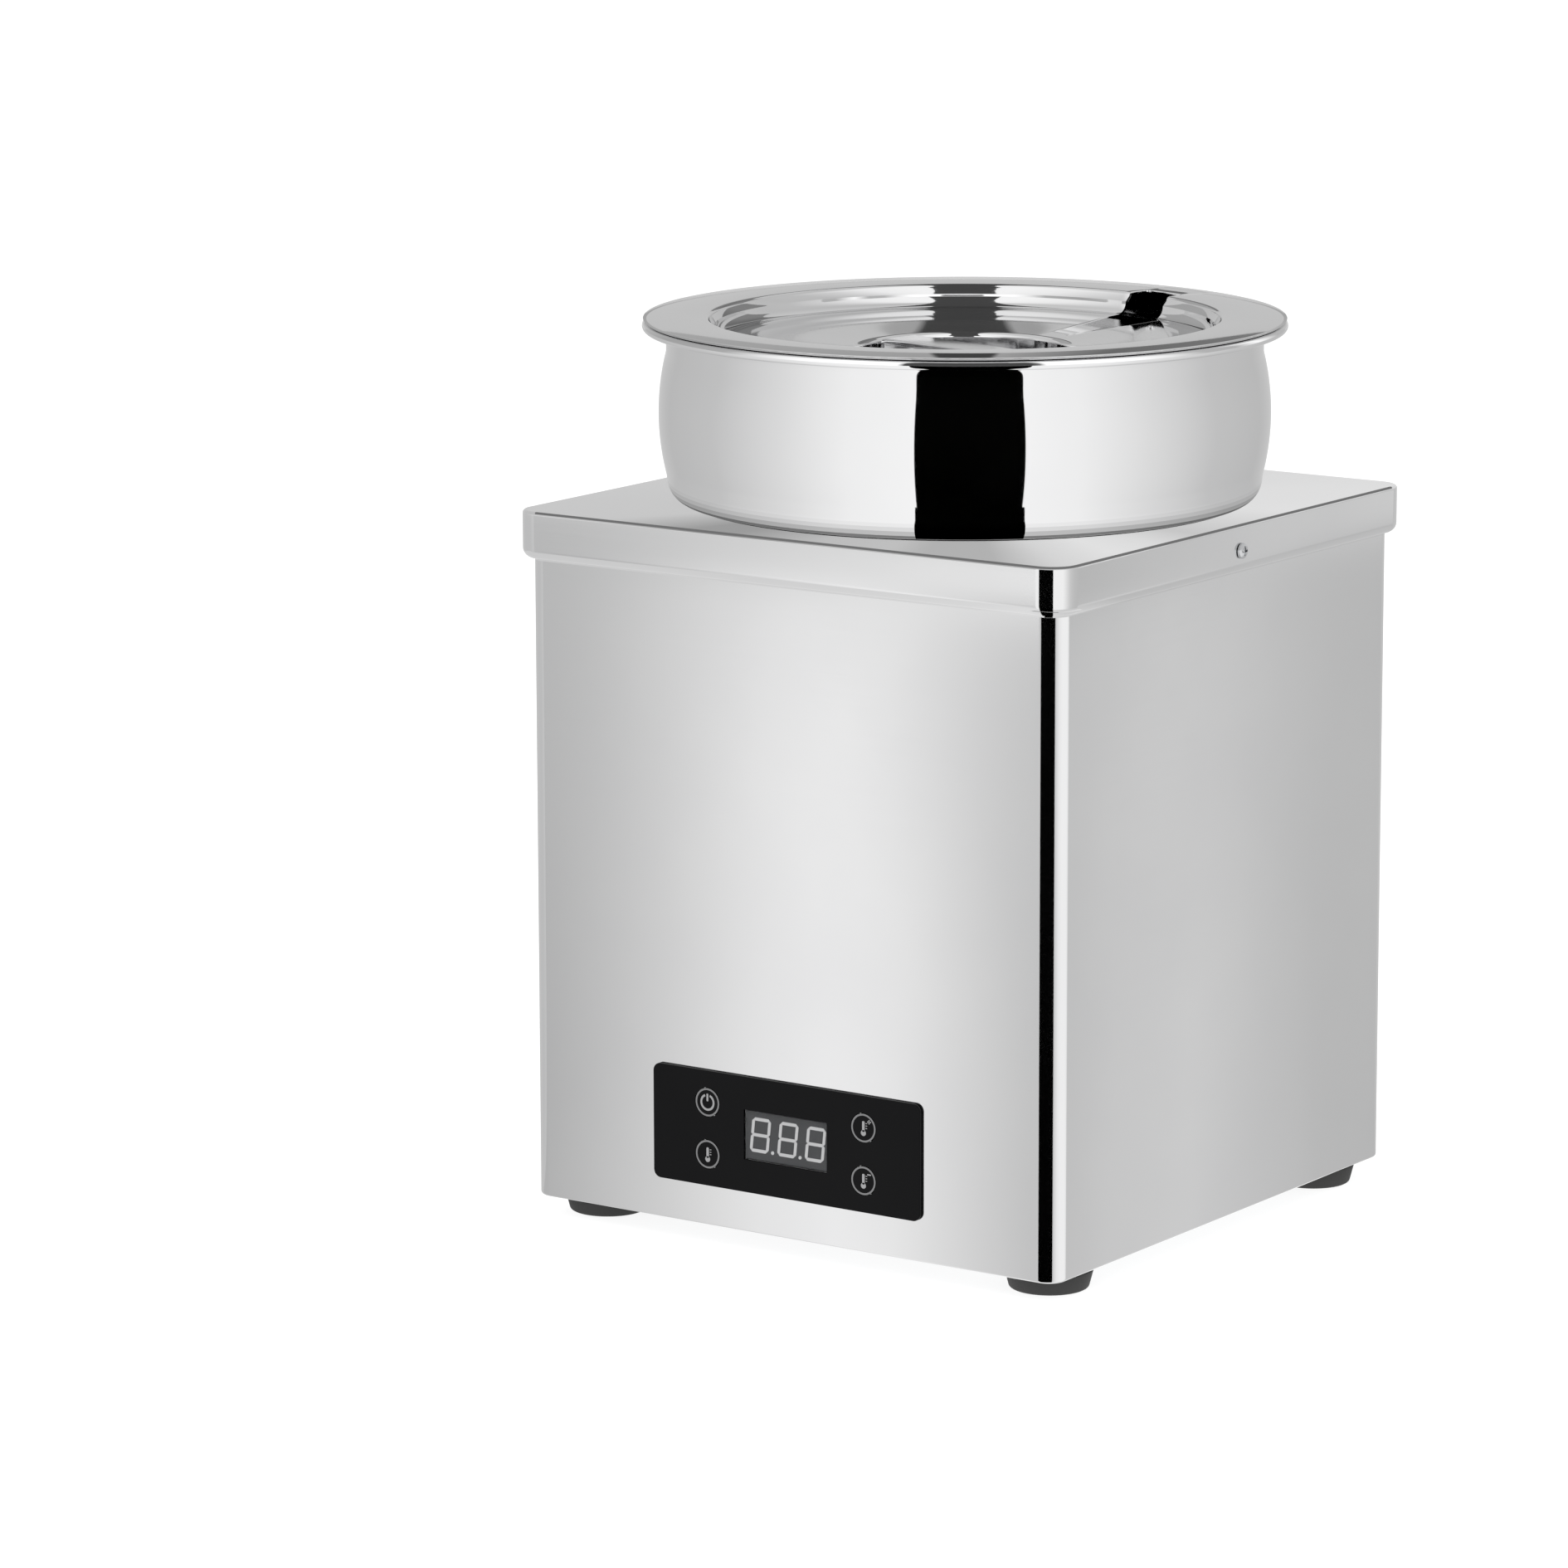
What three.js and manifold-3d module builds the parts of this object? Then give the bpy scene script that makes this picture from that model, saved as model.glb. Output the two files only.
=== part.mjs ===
// Countertop warmer with a round lift-out pot: a folded steel cabinet carries a heated well,
// the pot hangs in the well by its shoulder, and a recessed lid with a ladle notch lies on the rim.
// Millimetres, +Z up, front towards -Y, origin on the floor under the middle of the cabinet.

import * as THREE from 'three';
import { mergeVertices } from 'three/addons/utils/BufferGeometryUtils.js';
import Module from 'manifold-3d';

const wasm = await Module();
wasm.setup();

// Clearances and facet counts that every piece shares
const seatGap = 0.3;             // between a piece and what carries it
const cutOverrun = 3;            // how far a cutter runs past the face that it cuts
const roundFacets = 40;          // round the pot, the lid and the well
const smallFacets = 16;          // round a key, a post or a foot
const screwFacets = 8;
const bendFacets = 3;            // round one bend of a sheet or one corner of a plate
const mitreShareLimit = 0.5;     // keeps a sheet's outer face close at its sharpest bends

// Cabinet and cover
const coverWidth = 250;
const coverSheet = 1;
const coverSkirt = 18.7;
const skirtRoll = 4;             // radius of the skirt's lower edge
const coverCorner = 11;
const coverOverhang = 4.3;       // the skirt's outer face past the cabinet wall
const cabinetHeight = 270;       // lower edge of the walls to the top of the cover
const cabinetSheet = 1;
const cabinetCorner = 7.5;
const wrapTopFold = 5;           // the fold that the cover lies on
const openingMargin = 17.5;      // from the round opening to the edge of the cover
const coverScrewDrop = 10;       // below the top of the cover

// Rear panel
const rearSheet = 1;
const rearReturn = 22;           // how far the side walls turn in behind
const rearLap = 10;              // the panel over the edge of the rear window
const rearPanelGap = 1.5;        // under the skirt, and above the lower edge of the walls
const rearPanelCorner = 3;
const rearScrewRise = 20;        // lower screws above the panel's lower edge
const ventWidth = 46;
const ventHeight = 4;
const ventPitch = 10;
const ventRows = 6;
const ventColumnOffset = 32;
const ventTopDrop = 46;          // highest row below the panel's top edge

// Base tray and feet
const traySheet = 1;
const trayEdge = 12;             // height of the upturned edge
const trayVentLength = 70;
const trayVentWidth = 5;
const trayVentPitch = 14;
const trayVentCount = 4;
const footHeight = 8;
const footTopRadius = 17;
const footBottomRadius = 15;
const footInsetX = 18.3;         // foot centre in from the side wall
const footInsetY = 24.5;         // foot centre in from the front or rear wall
const footRecessRadius = 5.5;
const footRecessDepth = 4.4;

// Screws: head radius, head height, shank radius and shank length of each kind
const panelScrew = { head: 2.75, rise: 1.7, shank: 1.5, length: 7.8 };
const footScrew = { head: 4.2, rise: 2.6, shank: 2, length: 11 };
const inletScrew = { head: 2.7, rise: 1.4, shank: 1.5, length: 8 };
const earthScrew = { head: 4, rise: 2.4, shank: 2, length: 5 };
const screwHoleGap = 0.3;
const recessWidthShare = 0.28;   // of the head radius
const recessLengthShare = 0.62;
const recessDepthShare = 0.55;   // of the head height

// Pot: heights are above the top of the cover
const potSheet = 1;
const potOpeningGap = 2;         // from the pot to the edge of the opening
const potDepth = 113;            // bottom below the top of the cover
const potBottomBend = 12;
const potLedge = 2;              // how far the pot lies on the cover, past the opening
const potShoulderRise = 9.5;
const potShoulderFlare = 5.5;    // the bowl's lower end past the ledge
const potBellySwell = 3;         // the belly past the bowl's lower and upper ends
const potBellyHeight = 31.5;
const potNeckHeight = 57;
const potRimBend = 6;
const potRimFlare = 9.2;         // the rim past the upper end of the bowl
const potCurlRadius = 1.8;
const potCurlEndAngle = -120;    // degrees round the curl, from outwards
const bellyFacets = 6;
const curlFacets = 5;

// Lid: drops are below the top of its flange
const lidTopHeight = 70.3;       // above the top of the cover
const lidSheet = 1;
const lidRimInset = 0.4;         // the lid's edge in from the pot's rim
const lidEdgeRadius = 0.4;
const lidFlange = 25.4;          // width of the flat flange
const recessWallLean = 1.9;
const recessDrop = 8.6;
const recessTopBend = 1.6;
const recessFootBend = 5;
const cupRadius = 43;
const cupDrop = 11.8;
const cupDepth = 17;
const cupTopBend = 2;
const cupFootBend = 6;
const lidTurn = -15;             // degrees about the pot's axis
const notchWidth = 17;
const notchLength = 24.5;
const notchMargin = 9.3;         // from the notch to the lid's edge
const notchCorner = 3;
const strapWidth = 16;
const strapSheet = 2;
const strapTab = 6;
const strapBend = 2.5;

// Well, insulation and heater
const wellSheet = 0.8;
const wellPotGap = 3;            // from the wall to the pot
const wellFlange = 6;
const wellFloorGap = 6;          // under the pot
const wellBend = 9;
const jacketThickness = 6.6;
const jacketFootRise = 9;        // above the well's underside
const heaterRadiusShare = 0.784; // of the well's radius
const heaterThickness = 10;
const heaterChannelShare = 0.73; // of the heater's radius
const heaterChannelWidth = 9;
const heaterChannelRise = 2.4;
const studRadius = 3;
const studLength = 23;
const clampWidth = 20;
const clampSheet = 3;
const nutRadius = 6;
const nutHeight = 5;
const terminalRadius = 2.6;
const terminalLength = 11;
const terminalXShare = 0.42;     // of the channel's radius
const terminalYShare = 0.61;
const cutoutRadius = 8;
const cutoutHeight = 9;
const cutoutXShare = -0.515;     // of the channel's radius
const cutoutYShare = -0.485;
const cutoutTab = { width: 6, thickness: 0.8, length: 8, offset: 5 };
const probeRadius = 2.8;
const probeLength = 22;
const probeXShare = 0.58;        // of the channel's radius
const probeYShare = -0.485;

// Control panel on the front wall
const fasciaWidth = 123;
const fasciaHeight = 45.2;
const fasciaThickness = 1.2;
const fasciaCorner = 3.2;
const fasciaRise = 38.6;         // its middle above the lower edge of the walls
const ledWidth = 37.6;
const ledHeight = 19;
const ledDepth = 8;
const lensThickness = 0.6;
const keyRadius = 5.4;
const keyThickness = 0.7;
const keyOffsetX = 36;
const keyOffsetZ = 10.2;
const keyTravel = 0.4;
const keyStopGap = 0.1;          // left at the end of the travel
const keyStemRadius = 2;
const stemHoleGap = 0.6;
const frameWidth = 116;
const frameHeight = 42;
const frameWall = 4;
const frameCorner = 3;
const boardThickness = 1.6;
const switchSide = 6;
const switchHeight = 3.5;
const actuatorRadius = 1.75;
const actuatorHeight = 1;

// Power electronics on the base tray
const bracketWidth = 96;
const bracketDepth = 76;
const bracketSheet = 1.2;
const bracketY = 12;
const postRadius = 3.2;
const postHeight = 8;
const postInset = 6;
const coreWidth = 32;
const coreDepth = 16;
const coreHeight = 27;
const coilWidth = 22;
const coilDepth = 26;
const coilHeight = 18;
const transformerX = -22;
const relayWidth = 19;
const relayDepth = 15.5;
const relayHeight = 15.3;
const relayX = 24;
const relayY = 22;

// Power inlet in the rear panel
const inletInset = 32;           // its middle in from the edge of the rear window
const inletRise = 38;            // above the lower edge of the walls
const inletFlange = { width: 50, height: 22.5, thickness: 2.7, corner: 4 };
const inletBody = { width: 27.4, height: 19.6, depth: 17.5, corner: 2 };
const inletMouth = { width: 24.2, height: 16.4, depth: 15.5, corner: 2.4 };
const inletScrewMargin = 5;       // in from the end of the flange
const pinHeight = 4;
const pinWidth = 2;
const pinTipDrop = 3;            // inside the mouth
const pinTail = 8;               // behind the body
const pinOffsetX = 7;
const pinOffsetZ = 2;
const earthScrewInset = 28;      // in from the side wall

// Leads inside the cabinet
const leadRadius = 1.3;
const leadFacets = 6;
const leadSteps = 10;
const leadStraight = 8;          // the straight run at each end
const ribbonWidth = 14;
const ribbonThickness = 1.2;

// Places that follow from the sizes above
const coverTop = footHeight + cabinetHeight;
const coverUnderside = coverTop - coverSheet;
const skirtBottom = coverTop - coverSkirt;
const cabinetWidth = coverWidth - 2 * coverOverhang;
const halfCover = coverWidth / 2;
const halfCabinet = cabinetWidth / 2;
const wrapTop = coverUnderside - seatGap;
const innerHalf = halfCabinet - cabinetSheet;
const coverScrewZ = coverTop - coverScrewDrop;
const trayTop = footHeight + traySheet;
const rearWindowHalf = halfCabinet - rearReturn;
const rearPanelHalf = rearWindowHalf + rearLap;
const rearPanelLow = footHeight + rearPanelGap;
const rearPanelHigh = skirtBottom - rearPanelGap;
const rearWindowHigh = rearPanelHigh - rearLap;
const rearPanelInner = halfCabinet + seatGap;
const rearPanelOuter = rearPanelInner + rearSheet;
const rearScrewX = rearWindowHalf + rearLap / 2;
const rearScrewHighZ = rearPanelHigh - rearLap / 2;
const rearScrewLowZ = rearPanelLow + rearScrewRise;
const openingRadius = halfCover - openingMargin;
const potBodyRadius = openingRadius - potOpeningGap;
const potShoulderRadius = openingRadius + potLedge;
const potLowerRadius = potShoulderRadius + potShoulderFlare;
const potBellyRadius = potLowerRadius + potBellySwell;
const potNeckRadius = potLowerRadius;
const potRimRadius = potNeckRadius + potRimFlare;
const potBottom = coverTop - potDepth;
const lidTop = coverTop + lidTopHeight;
const potRimTop = lidTop - lidSheet - seatGap;
const lidRadius = potRimRadius - lidRimInset;
const recessRadius = lidRadius - lidFlange;
const notchOuterRadius = lidRadius - notchMargin;
const notchInnerRadius = notchOuterRadius - notchLength;
const wellRadius = potBodyRadius + wellPotGap;
const wellFlangeRadius = wellRadius + wellFlange;
const wellFloor = potBottom - wellFloorGap;
const wellUnderside = wellFloor - wellSheet;
const heaterTop = wellUnderside - seatGap;
const heaterUnderside = heaterTop - heaterThickness;
const channelUnderside = heaterUnderside - heaterChannelRise;
const heaterRadius = wellRadius * heaterRadiusShare;
const heaterChannelRadius = heaterRadius * heaterChannelShare;
const terminalX = heaterChannelRadius * terminalXShare;
const terminalY = heaterChannelRadius * terminalYShare;
const cutoutX = heaterChannelRadius * cutoutXShare;
const cutoutY = heaterChannelRadius * cutoutYShare;
const probeX = heaterChannelRadius * probeXShare;
const probeY = heaterChannelRadius * probeYShare;
const clampTop = channelUnderside - seatGap;
const nutTop = clampTop - clampSheet - seatGap;
const panelZ = footHeight + fasciaRise;
const fasciaFront = -(halfCabinet + seatGap + fasciaThickness);
const ledFront = fasciaFront + lensThickness + seatGap;
const boardFront = ledFront + ledDepth + seatGap;
const boardBack = boardFront + boardThickness;
const switchFront = boardFront - seatGap - switchHeight;
const stemEnd = switchFront - actuatorHeight - keyTravel - keyStopGap;
const frameFront = seatGap - innerHalf;
const bracketTop = trayTop + seatGap + bracketSheet;
const powerBoardLow = bracketTop + postHeight + seatGap;
const powerBoardHigh = powerBoardLow + boardThickness;
const inletX = rearWindowHalf - inletInset;
const inletZ = footHeight + inletRise;
const inletScrewOffset = inletFlange.width / 2 - inletScrewMargin;
const inletFlangeInner = rearPanelOuter + seatGap;
const inletFace = inletFlangeInner + inletFlange.thickness;
const inletBack = inletFace - inletBody.depth;
const pinTip = inletFace - pinTipDrop;
const pinEnd = inletBack - pinTail;
const earthScrewX = innerHalf - earthScrewInset;
const earthScrewY = halfCabinet / 2;

// Materials
const finishes = {
  satinSteel: { color: 0xc9cacc, roughness: 0.3, metalness: 1 },
  polishedSteel: { color: 0xd6d7d8, roughness: 0.12, metalness: 1 },
  zincSteel: { color: 0xa9adb0, roughness: 0.45, metalness: 1 },
  aluminium: { color: 0xb4b6b8, roughness: 0.5, metalness: 1 },
  brass: { color: 0xb99b5a, roughness: 0.4, metalness: 1 },
  blackFascia: { color: 0x141415, roughness: 0.15, metalness: 0 },
  displayLens: { color: 0x2c2d2f, roughness: 0.1, metalness: 0 },
  ledPlastic: { color: 0x3a3b3d, roughness: 0.4, metalness: 0 },
  blackPlastic: { color: 0x1c1c1d, roughness: 0.5, metalness: 0 },
  rubber: { color: 0x242424, roughness: 0.8, metalness: 0 },
  mineralWool: { color: 0xc9bf9c, roughness: 1, metalness: 0 },
  circuitBoard: { color: 0x1f5a3a, roughness: 0.5, metalness: 0 },
  copperCoil: { color: 0x9a6a35, roughness: 0.5, metalness: 0.4 },
  redSleeve: { color: 0x8e2a22, roughness: 0.6, metalness: 0 },
  blueSleeve: { color: 0x2a4a86, roughness: 0.6, metalness: 0 },
  greenSleeve: { color: 0x5d8a34, roughness: 0.6, metalness: 0 },
  whiteSleeve: { color: 0xd8d6cf, roughness: 0.7, metalness: 0 },
  greySleeve: { color: 0x8c8e90, roughness: 0.7, metalness: 0 },
};

// Turns a closed geometry into a solid that can be joined and cut
function solidOf(geometry) {
  geometry.deleteAttribute('uv');
  geometry.deleteAttribute('normal');
  const merged = mergeVertices(geometry);
  const corners = merged.index.array;
  const kept = [];
  for (let i = 0; i < corners.length; i += 3) {
    const [a, b, c] = [corners[i], corners[i + 1], corners[i + 2]];
    if (a !== b && b !== c && c !== a) {
      kept.push(a, b, c);
    }
  }
  const vertProperties = new Float32Array(merged.attributes.position.array);
  const triVerts = new Uint32Array(kept);
  return new wasm.Manifold(new wasm.Mesh({ numProp: 3, vertProperties, triVerts }));
}

// Points along an arc, angles in radians from the first axis
function arc(centreX, centreY, radius, from, to, steps) {
  return Array.from({ length: steps + 1 }, (_, i) => {
    const angle = from + (to - from) * i / steps;
    return new THREE.Vector2(centreX + radius * Math.cos(angle), centreY + radius * Math.sin(angle));
  });
}

function roundedRect(width, height, radius, x = 0, y = 0) {
  const cornerX = width / 2 - radius;
  const cornerY = height / 2 - radius;
  const signs = [[1, 1], [-1, 1], [-1, -1], [1, -1]];
  const points = signs.flatMap(([signX, signY], i) => {
    const from = i * Math.PI / 2;
    return arc(x + signX * cornerX, y + signY * cornerY, radius, from, from + Math.PI / 2, bendFacets);
  });
  return new THREE.Shape(points);
}

// A flat outline in X and Y, thickened along Z
function plateZ(shape, low, high) {
  const geometry = new THREE.ExtrudeGeometry(shape, { depth: high - low, bevelEnabled: false });
  geometry.translate(0, 0, low);
  return solidOf(geometry);
}

// A flat outline in X and Z, thickened along Y
function plateY(shape, low, high) {
  const geometry = new THREE.ExtrudeGeometry(shape, { depth: high - low, bevelEnabled: false });
  geometry.rotateX(Math.PI / 2);
  geometry.translate(0, high, 0);
  return solidOf(geometry);
}

function block(x, y, z) {
  const geometry = new THREE.BoxGeometry(x[1] - x[0], y[1] - y[0], z[1] - z[0]);
  geometry.translate((x[0] + x[1]) / 2, (y[0] + y[1]) / 2, (z[0] + z[1]) / 2);
  return solidOf(geometry);
}

// A round bar along one axis; first and second are its place on the other two axes, in X, Y, Z order
function bar(axis, radius, low, high, first = 0, second = 0, facets = smallFacets) {
  const geometry = new THREE.CylinderGeometry(radius, radius, high - low, facets);
  const middle = (low + high) / 2;
  if (axis === 'x') {
    geometry.rotateZ(Math.PI / 2);
    geometry.translate(middle, first, second);
  } else if (axis === 'y') {
    geometry.translate(first, middle, second);
  } else {
    geometry.rotateX(Math.PI / 2);
    geometry.translate(first, second, middle);
  }
  return solidOf(geometry);
}

// A profile of radius and height turned about Z; it runs anticlockwise and starts and ends on the axis
function turned(profile, facets = roundFacets) {
  const geometry = new THREE.LatheGeometry(profile, facets);
  geometry.rotateX(Math.PI / 2);
  return solidOf(geometry);
}

// The closed section of a sheet whose upper or inner face follows the line, from the axis outwards
function sheetSection(line, sheet) {
  const under = line.map((point, i) => {
    const before = line[Math.max(i - 1, 0)];
    const after = line[Math.min(i + 1, line.length - 1)];
    const ahead = after.clone().sub(i === line.length - 1 ? before : point).normalize();
    const behind = i === 0 ? ahead : point.clone().sub(before).normalize();
    const middle = ahead.clone().add(behind).normalize();
    const stretch = sheet / Math.max(middle.dot(ahead), mitreShareLimit);
    return new THREE.Vector2(point.x + middle.y * stretch, point.y - middle.x * stretch);
  });
  return [...under, ...line.toReversed()];
}

function all(solids) {
  return solids.reduce((joined, next) => joined.add(next));
}

function cut(solid, cutters) {
  return cutters.reduce((left, cutter) => left.subtract(cutter), solid);
}

// A cross-recessed pan-head screw: the head stands up from zero and the shank hangs below it
function screw(size) {
  const body = turned([
    new THREE.Vector2(0, -size.length),
    new THREE.Vector2(size.shank, -size.length),
    new THREE.Vector2(size.shank, 0),
    new THREE.Vector2(size.head, 0),
    new THREE.Vector2(size.head, size.rise / 2),
    new THREE.Vector2(size.head * Math.SQRT1_2, size.rise),
    new THREE.Vector2(0, size.rise),
  ], screwFacets);
  const reach = size.head * recessLengthShare;
  const half = size.head * recessWidthShare / 2;
  const depth = [size.rise * (1 - recessDepthShare), size.rise + cutOverrun];
  const long = [-reach, reach];
  const narrow = [-half, half];
  return cut(body, [block(long, narrow, depth), block(narrow, long, depth)]);
}

const warmer = new THREE.Group();

// Wraps a solid in a named mesh with its own material and hangs it in a group
function addPiece(name, solid, finish, group = warmer) {
  const { vertProperties, triVerts } = solid.getMesh();
  const geometry = new THREE.BufferGeometry();
  geometry.setAttribute('position', new THREE.BufferAttribute(vertProperties, 3));
  geometry.setIndex(new THREE.BufferAttribute(triVerts, 1));
  geometry.computeVertexNormals();
  const mesh = new THREE.Mesh(geometry, new THREE.MeshStandardMaterial(finishes[finish]));
  mesh.name = name;
  group.add(mesh);
  return mesh;
}

// Sheet wrap of the front and the two sides, with returns behind and a fold under the cover
function cabinetWrap() {
  const outer = plateZ(roundedRect(cabinetWidth, cabinetWidth, cabinetCorner), footHeight, wrapTop);
  const innerWidth = 2 * innerHalf;
  const innerCorner = cabinetCorner - cabinetSheet;
  const foldWidth = cabinetWidth - 2 * wrapTopFold;
  const holeRadius = panelScrew.shank + screwHoleGap;
  const low = footHeight - cutOverrun;
  const near = innerHalf - cutOverrun;
  const far = halfCabinet + cutOverrun;
  const cutters = [
    plateZ(roundedRect(innerWidth, innerWidth, innerCorner), low, wrapTop - cabinetSheet),
    plateZ(roundedRect(foldWidth, foldWidth, cabinetCorner), skirtBottom, coverTop),
    block([-rearWindowHalf, rearWindowHalf], [near, far], [low, rearWindowHigh]),
    plateY(ledWindow(), -far, -near),
    bar('x', holeRadius, -far, far, 0, coverScrewZ, screwFacets),
  ];
  for (const [x, z] of keyPlaces()) {
    cutters.push(bar('y', keyStemRadius + stemHoleGap, -far, -near, x, z));
  }
  for (const [x, z] of rearScrewPlaces()) {
    cutters.push(bar('y', holeRadius, near, far, x, z, screwFacets));
  }
  return cut(outer, cutters);
}

// The hole for the display module, in the front wall and in the fascia
function ledWindow() {
  return roundedRect(ledWidth + 2 * seatGap, ledHeight + 2 * seatGap, seatGap, 0, panelZ);
}

function keyPlaces() {
  return [
    [-keyOffsetX, panelZ + keyOffsetZ],
    [-keyOffsetX, panelZ - keyOffsetZ],
    [keyOffsetX, panelZ + keyOffsetZ],
    [keyOffsetX, panelZ - keyOffsetZ],
  ];
}

function rearScrewPlaces() {
  return [
    [-rearScrewX, rearScrewLowZ],
    [rearScrewX, rearScrewLowZ],
    [-rearScrewX, rearScrewHighZ],
    [rearScrewX, rearScrewHighZ],
  ];
}

// A square block with rounded corners and a rolled lower edge, flat on top
function rolledBox(width, corner, roll, low, high) {
  const geometry = new THREE.ExtrudeGeometry(roundedRect(width, width, corner), {
    depth: high - low,
    bevelThickness: roll,
    bevelSize: roll,
    bevelOffset: -roll,
    bevelSegments: bendFacets,
  });
  geometry.translate(0, 0, low + roll);
  const across = [-width, width];
  return cut(solidOf(geometry), [block(across, across, [high, high + 2 * roll + cutOverrun])]);
}

// Folded top plate: round opening, skirt, and a return under the skirt that meets the cabinet walls
function topCover() {
  const inside = coverWidth - 2 * coverSheet;
  const insideCorner = coverCorner - coverSheet;
  const throat = cabinetWidth + 2 * seatGap;
  const throatCorner = cabinetCorner + seatGap;
  const holeRadius = panelScrew.shank + screwHoleGap;
  const far = halfCover + cutOverrun;
  const insideRoll = skirtRoll - coverSheet;
  return cut(rolledBox(coverWidth, coverCorner, skirtRoll, skirtBottom, coverTop), [
    rolledBox(inside, insideCorner, insideRoll, skirtBottom + coverSheet, coverUnderside),
    plateZ(roundedRect(throat, throat, throatCorner), skirtBottom - cutOverrun, skirtBottom + cutOverrun),
    bar('z', openingRadius, coverUnderside - cutOverrun, coverTop + cutOverrun, 0, 0, roundFacets),
    bar('x', holeRadius, -far, far, 0, coverScrewZ, screwFacets),
  ]);
}

// Rear panel with rows of vent slots and the hole for the power inlet
function rearPanel() {
  const width = 2 * rearPanelHalf;
  const height = rearPanelHigh - rearPanelLow;
  const outline = roundedRect(width, height, rearPanelCorner, 0, (rearPanelHigh + rearPanelLow) / 2);
  for (let row = 0; row < ventRows; row += 1) {
    const z = rearPanelHigh - ventTopDrop - row * ventPitch;
    for (const x of [-ventColumnOffset, ventColumnOffset]) {
      outline.holes.push(roundedRect(ventWidth, ventHeight, ventHeight / 2, x, z));
    }
  }
  const inletWidth = inletBody.width + 2 * seatGap;
  const inletHeight = inletBody.height + 2 * seatGap;
  outline.holes.push(roundedRect(inletWidth, inletHeight, inletBody.corner, inletX, inletZ));
  const holes = rearScrewPlaces().map(([x, z]) => [x, z, panelScrew]);
  for (const side of [-1, 1]) {
    holes.push([inletX + side * inletScrewOffset, inletZ, inletScrew]);
  }
  const low = rearPanelInner - cutOverrun;
  const high = rearPanelOuter + cutOverrun;
  return cut(plateY(outline, rearPanelInner, rearPanelOuter), holes.map(([x, z, size]) =>
    bar('y', size.shank + screwHoleGap, low, high, x, z, screwFacets)));
}

function footPlaces() {
  const x = halfCabinet - footInsetX;
  const y = halfCabinet - footInsetY;
  return { front_left: [-x, -y], front_right: [x, -y], rear_left: [-x, y], rear_right: [x, y] };
}

// Base tray with an upturned edge inside the walls, vent slots and screw holes
function baseTray() {
  const width = 2 * (innerHalf - seatGap);
  const corner = cabinetCorner - cabinetSheet - seatGap;
  const floor = roundedRect(width, width, corner);
  for (let i = 0; i < trayVentCount; i += 1) {
    const y = (i - (trayVentCount - 1) / 2) * trayVentPitch - halfCabinet / 2;
    floor.holes.push(roundedRect(trayVentLength, trayVentWidth, trayVentWidth / 2, 0, y));
  }
  const inside = width - 2 * traySheet;
  const edgeTop = footHeight + trayEdge;
  const pan = plateZ(floor, footHeight, edgeTop);
  const hollow = plateZ(roundedRect(inside, inside, corner - traySheet), trayTop, edgeTop + cutOverrun);
  const holes = Object.values(footPlaces()).map(([x, y]) => [x, y, footScrew]);
  holes.push([earthScrewX, earthScrewY, earthScrew]);
  const low = footHeight - cutOverrun;
  const high = trayTop + cutOverrun;
  return cut(pan, [hollow, ...holes.map(([x, y, size]) =>
    bar('z', size.shank + screwHoleGap, low, high, x, y, screwFacets))]);
}

// Tapered foot with a recess below for the screw head
function foot() {
  const hole = footScrew.shank + screwHoleGap;
  const section = [
    new THREE.Vector2(footRecessRadius, 0),
    new THREE.Vector2(footBottomRadius, 0),
    new THREE.Vector2(footTopRadius, footHeight - seatGap),
    new THREE.Vector2(hole, footHeight - seatGap),
    new THREE.Vector2(hole, footRecessDepth),
    new THREE.Vector2(footRecessRadius, footRecessDepth),
    new THREE.Vector2(footRecessRadius, 0),
  ];
  return turned(section, smallFacets);
}

// Inner and upper face of the pot, from the middle of its floor to the end of the rim curl
function potLine() {
  const bodyRadius = potBodyRadius - potSheet;
  const floorZ = potBottom + potSheet;
  const bend = potBottomBend - potSheet;
  const ledgeZ = coverTop + seatGap + potSheet;
  const shoulder = potShoulderRadius - potSheet;
  const lower = potLowerRadius - potSheet;
  const neck = potNeckRadius - potSheet;
  const belly = new THREE.SplineCurve([
    new THREE.Vector2(lower, coverTop + potShoulderRise),
    new THREE.Vector2(potBellyRadius - potSheet, coverTop + potBellyHeight),
    new THREE.Vector2(neck, coverTop + potNeckHeight),
  ]);
  const bendCentre = new THREE.Vector2(neck + potRimBend + potSheet, potRimTop - potRimBend - potSheet);
  const curlCentre = new THREE.Vector2(potRimRadius - potCurlRadius, potRimTop - potCurlRadius);
  const curlEnd = THREE.MathUtils.degToRad(potCurlEndAngle);
  const shoulderCurve = arc(0, 0, 1, -Math.PI / 2, 0, bendFacets).slice(1, -1).map((unit) =>
    new THREE.Vector2(
      shoulder + unit.x * (lower - shoulder),
      coverTop + potShoulderRise + unit.y * (potShoulderRise - potSheet - seatGap),
    ));
  return [
    new THREE.Vector2(0, floorZ),
    ...arc(bodyRadius - bend, floorZ + bend, bend, -Math.PI / 2, 0, bendFacets),
    new THREE.Vector2(bodyRadius, ledgeZ),
    new THREE.Vector2(shoulder, ledgeZ),
    ...shoulderCurve,
    ...belly.getPoints(bellyFacets),
    ...arc(bendCentre.x, bendCentre.y, potRimBend + potSheet, Math.PI, Math.PI / 2, bendFacets),
    ...arc(curlCentre.x, curlCentre.y, potCurlRadius, Math.PI / 2, curlEnd, curlFacets),
  ];
}

function pot() {
  return turned(sheetSection(potLine(), potSheet));
}

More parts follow.
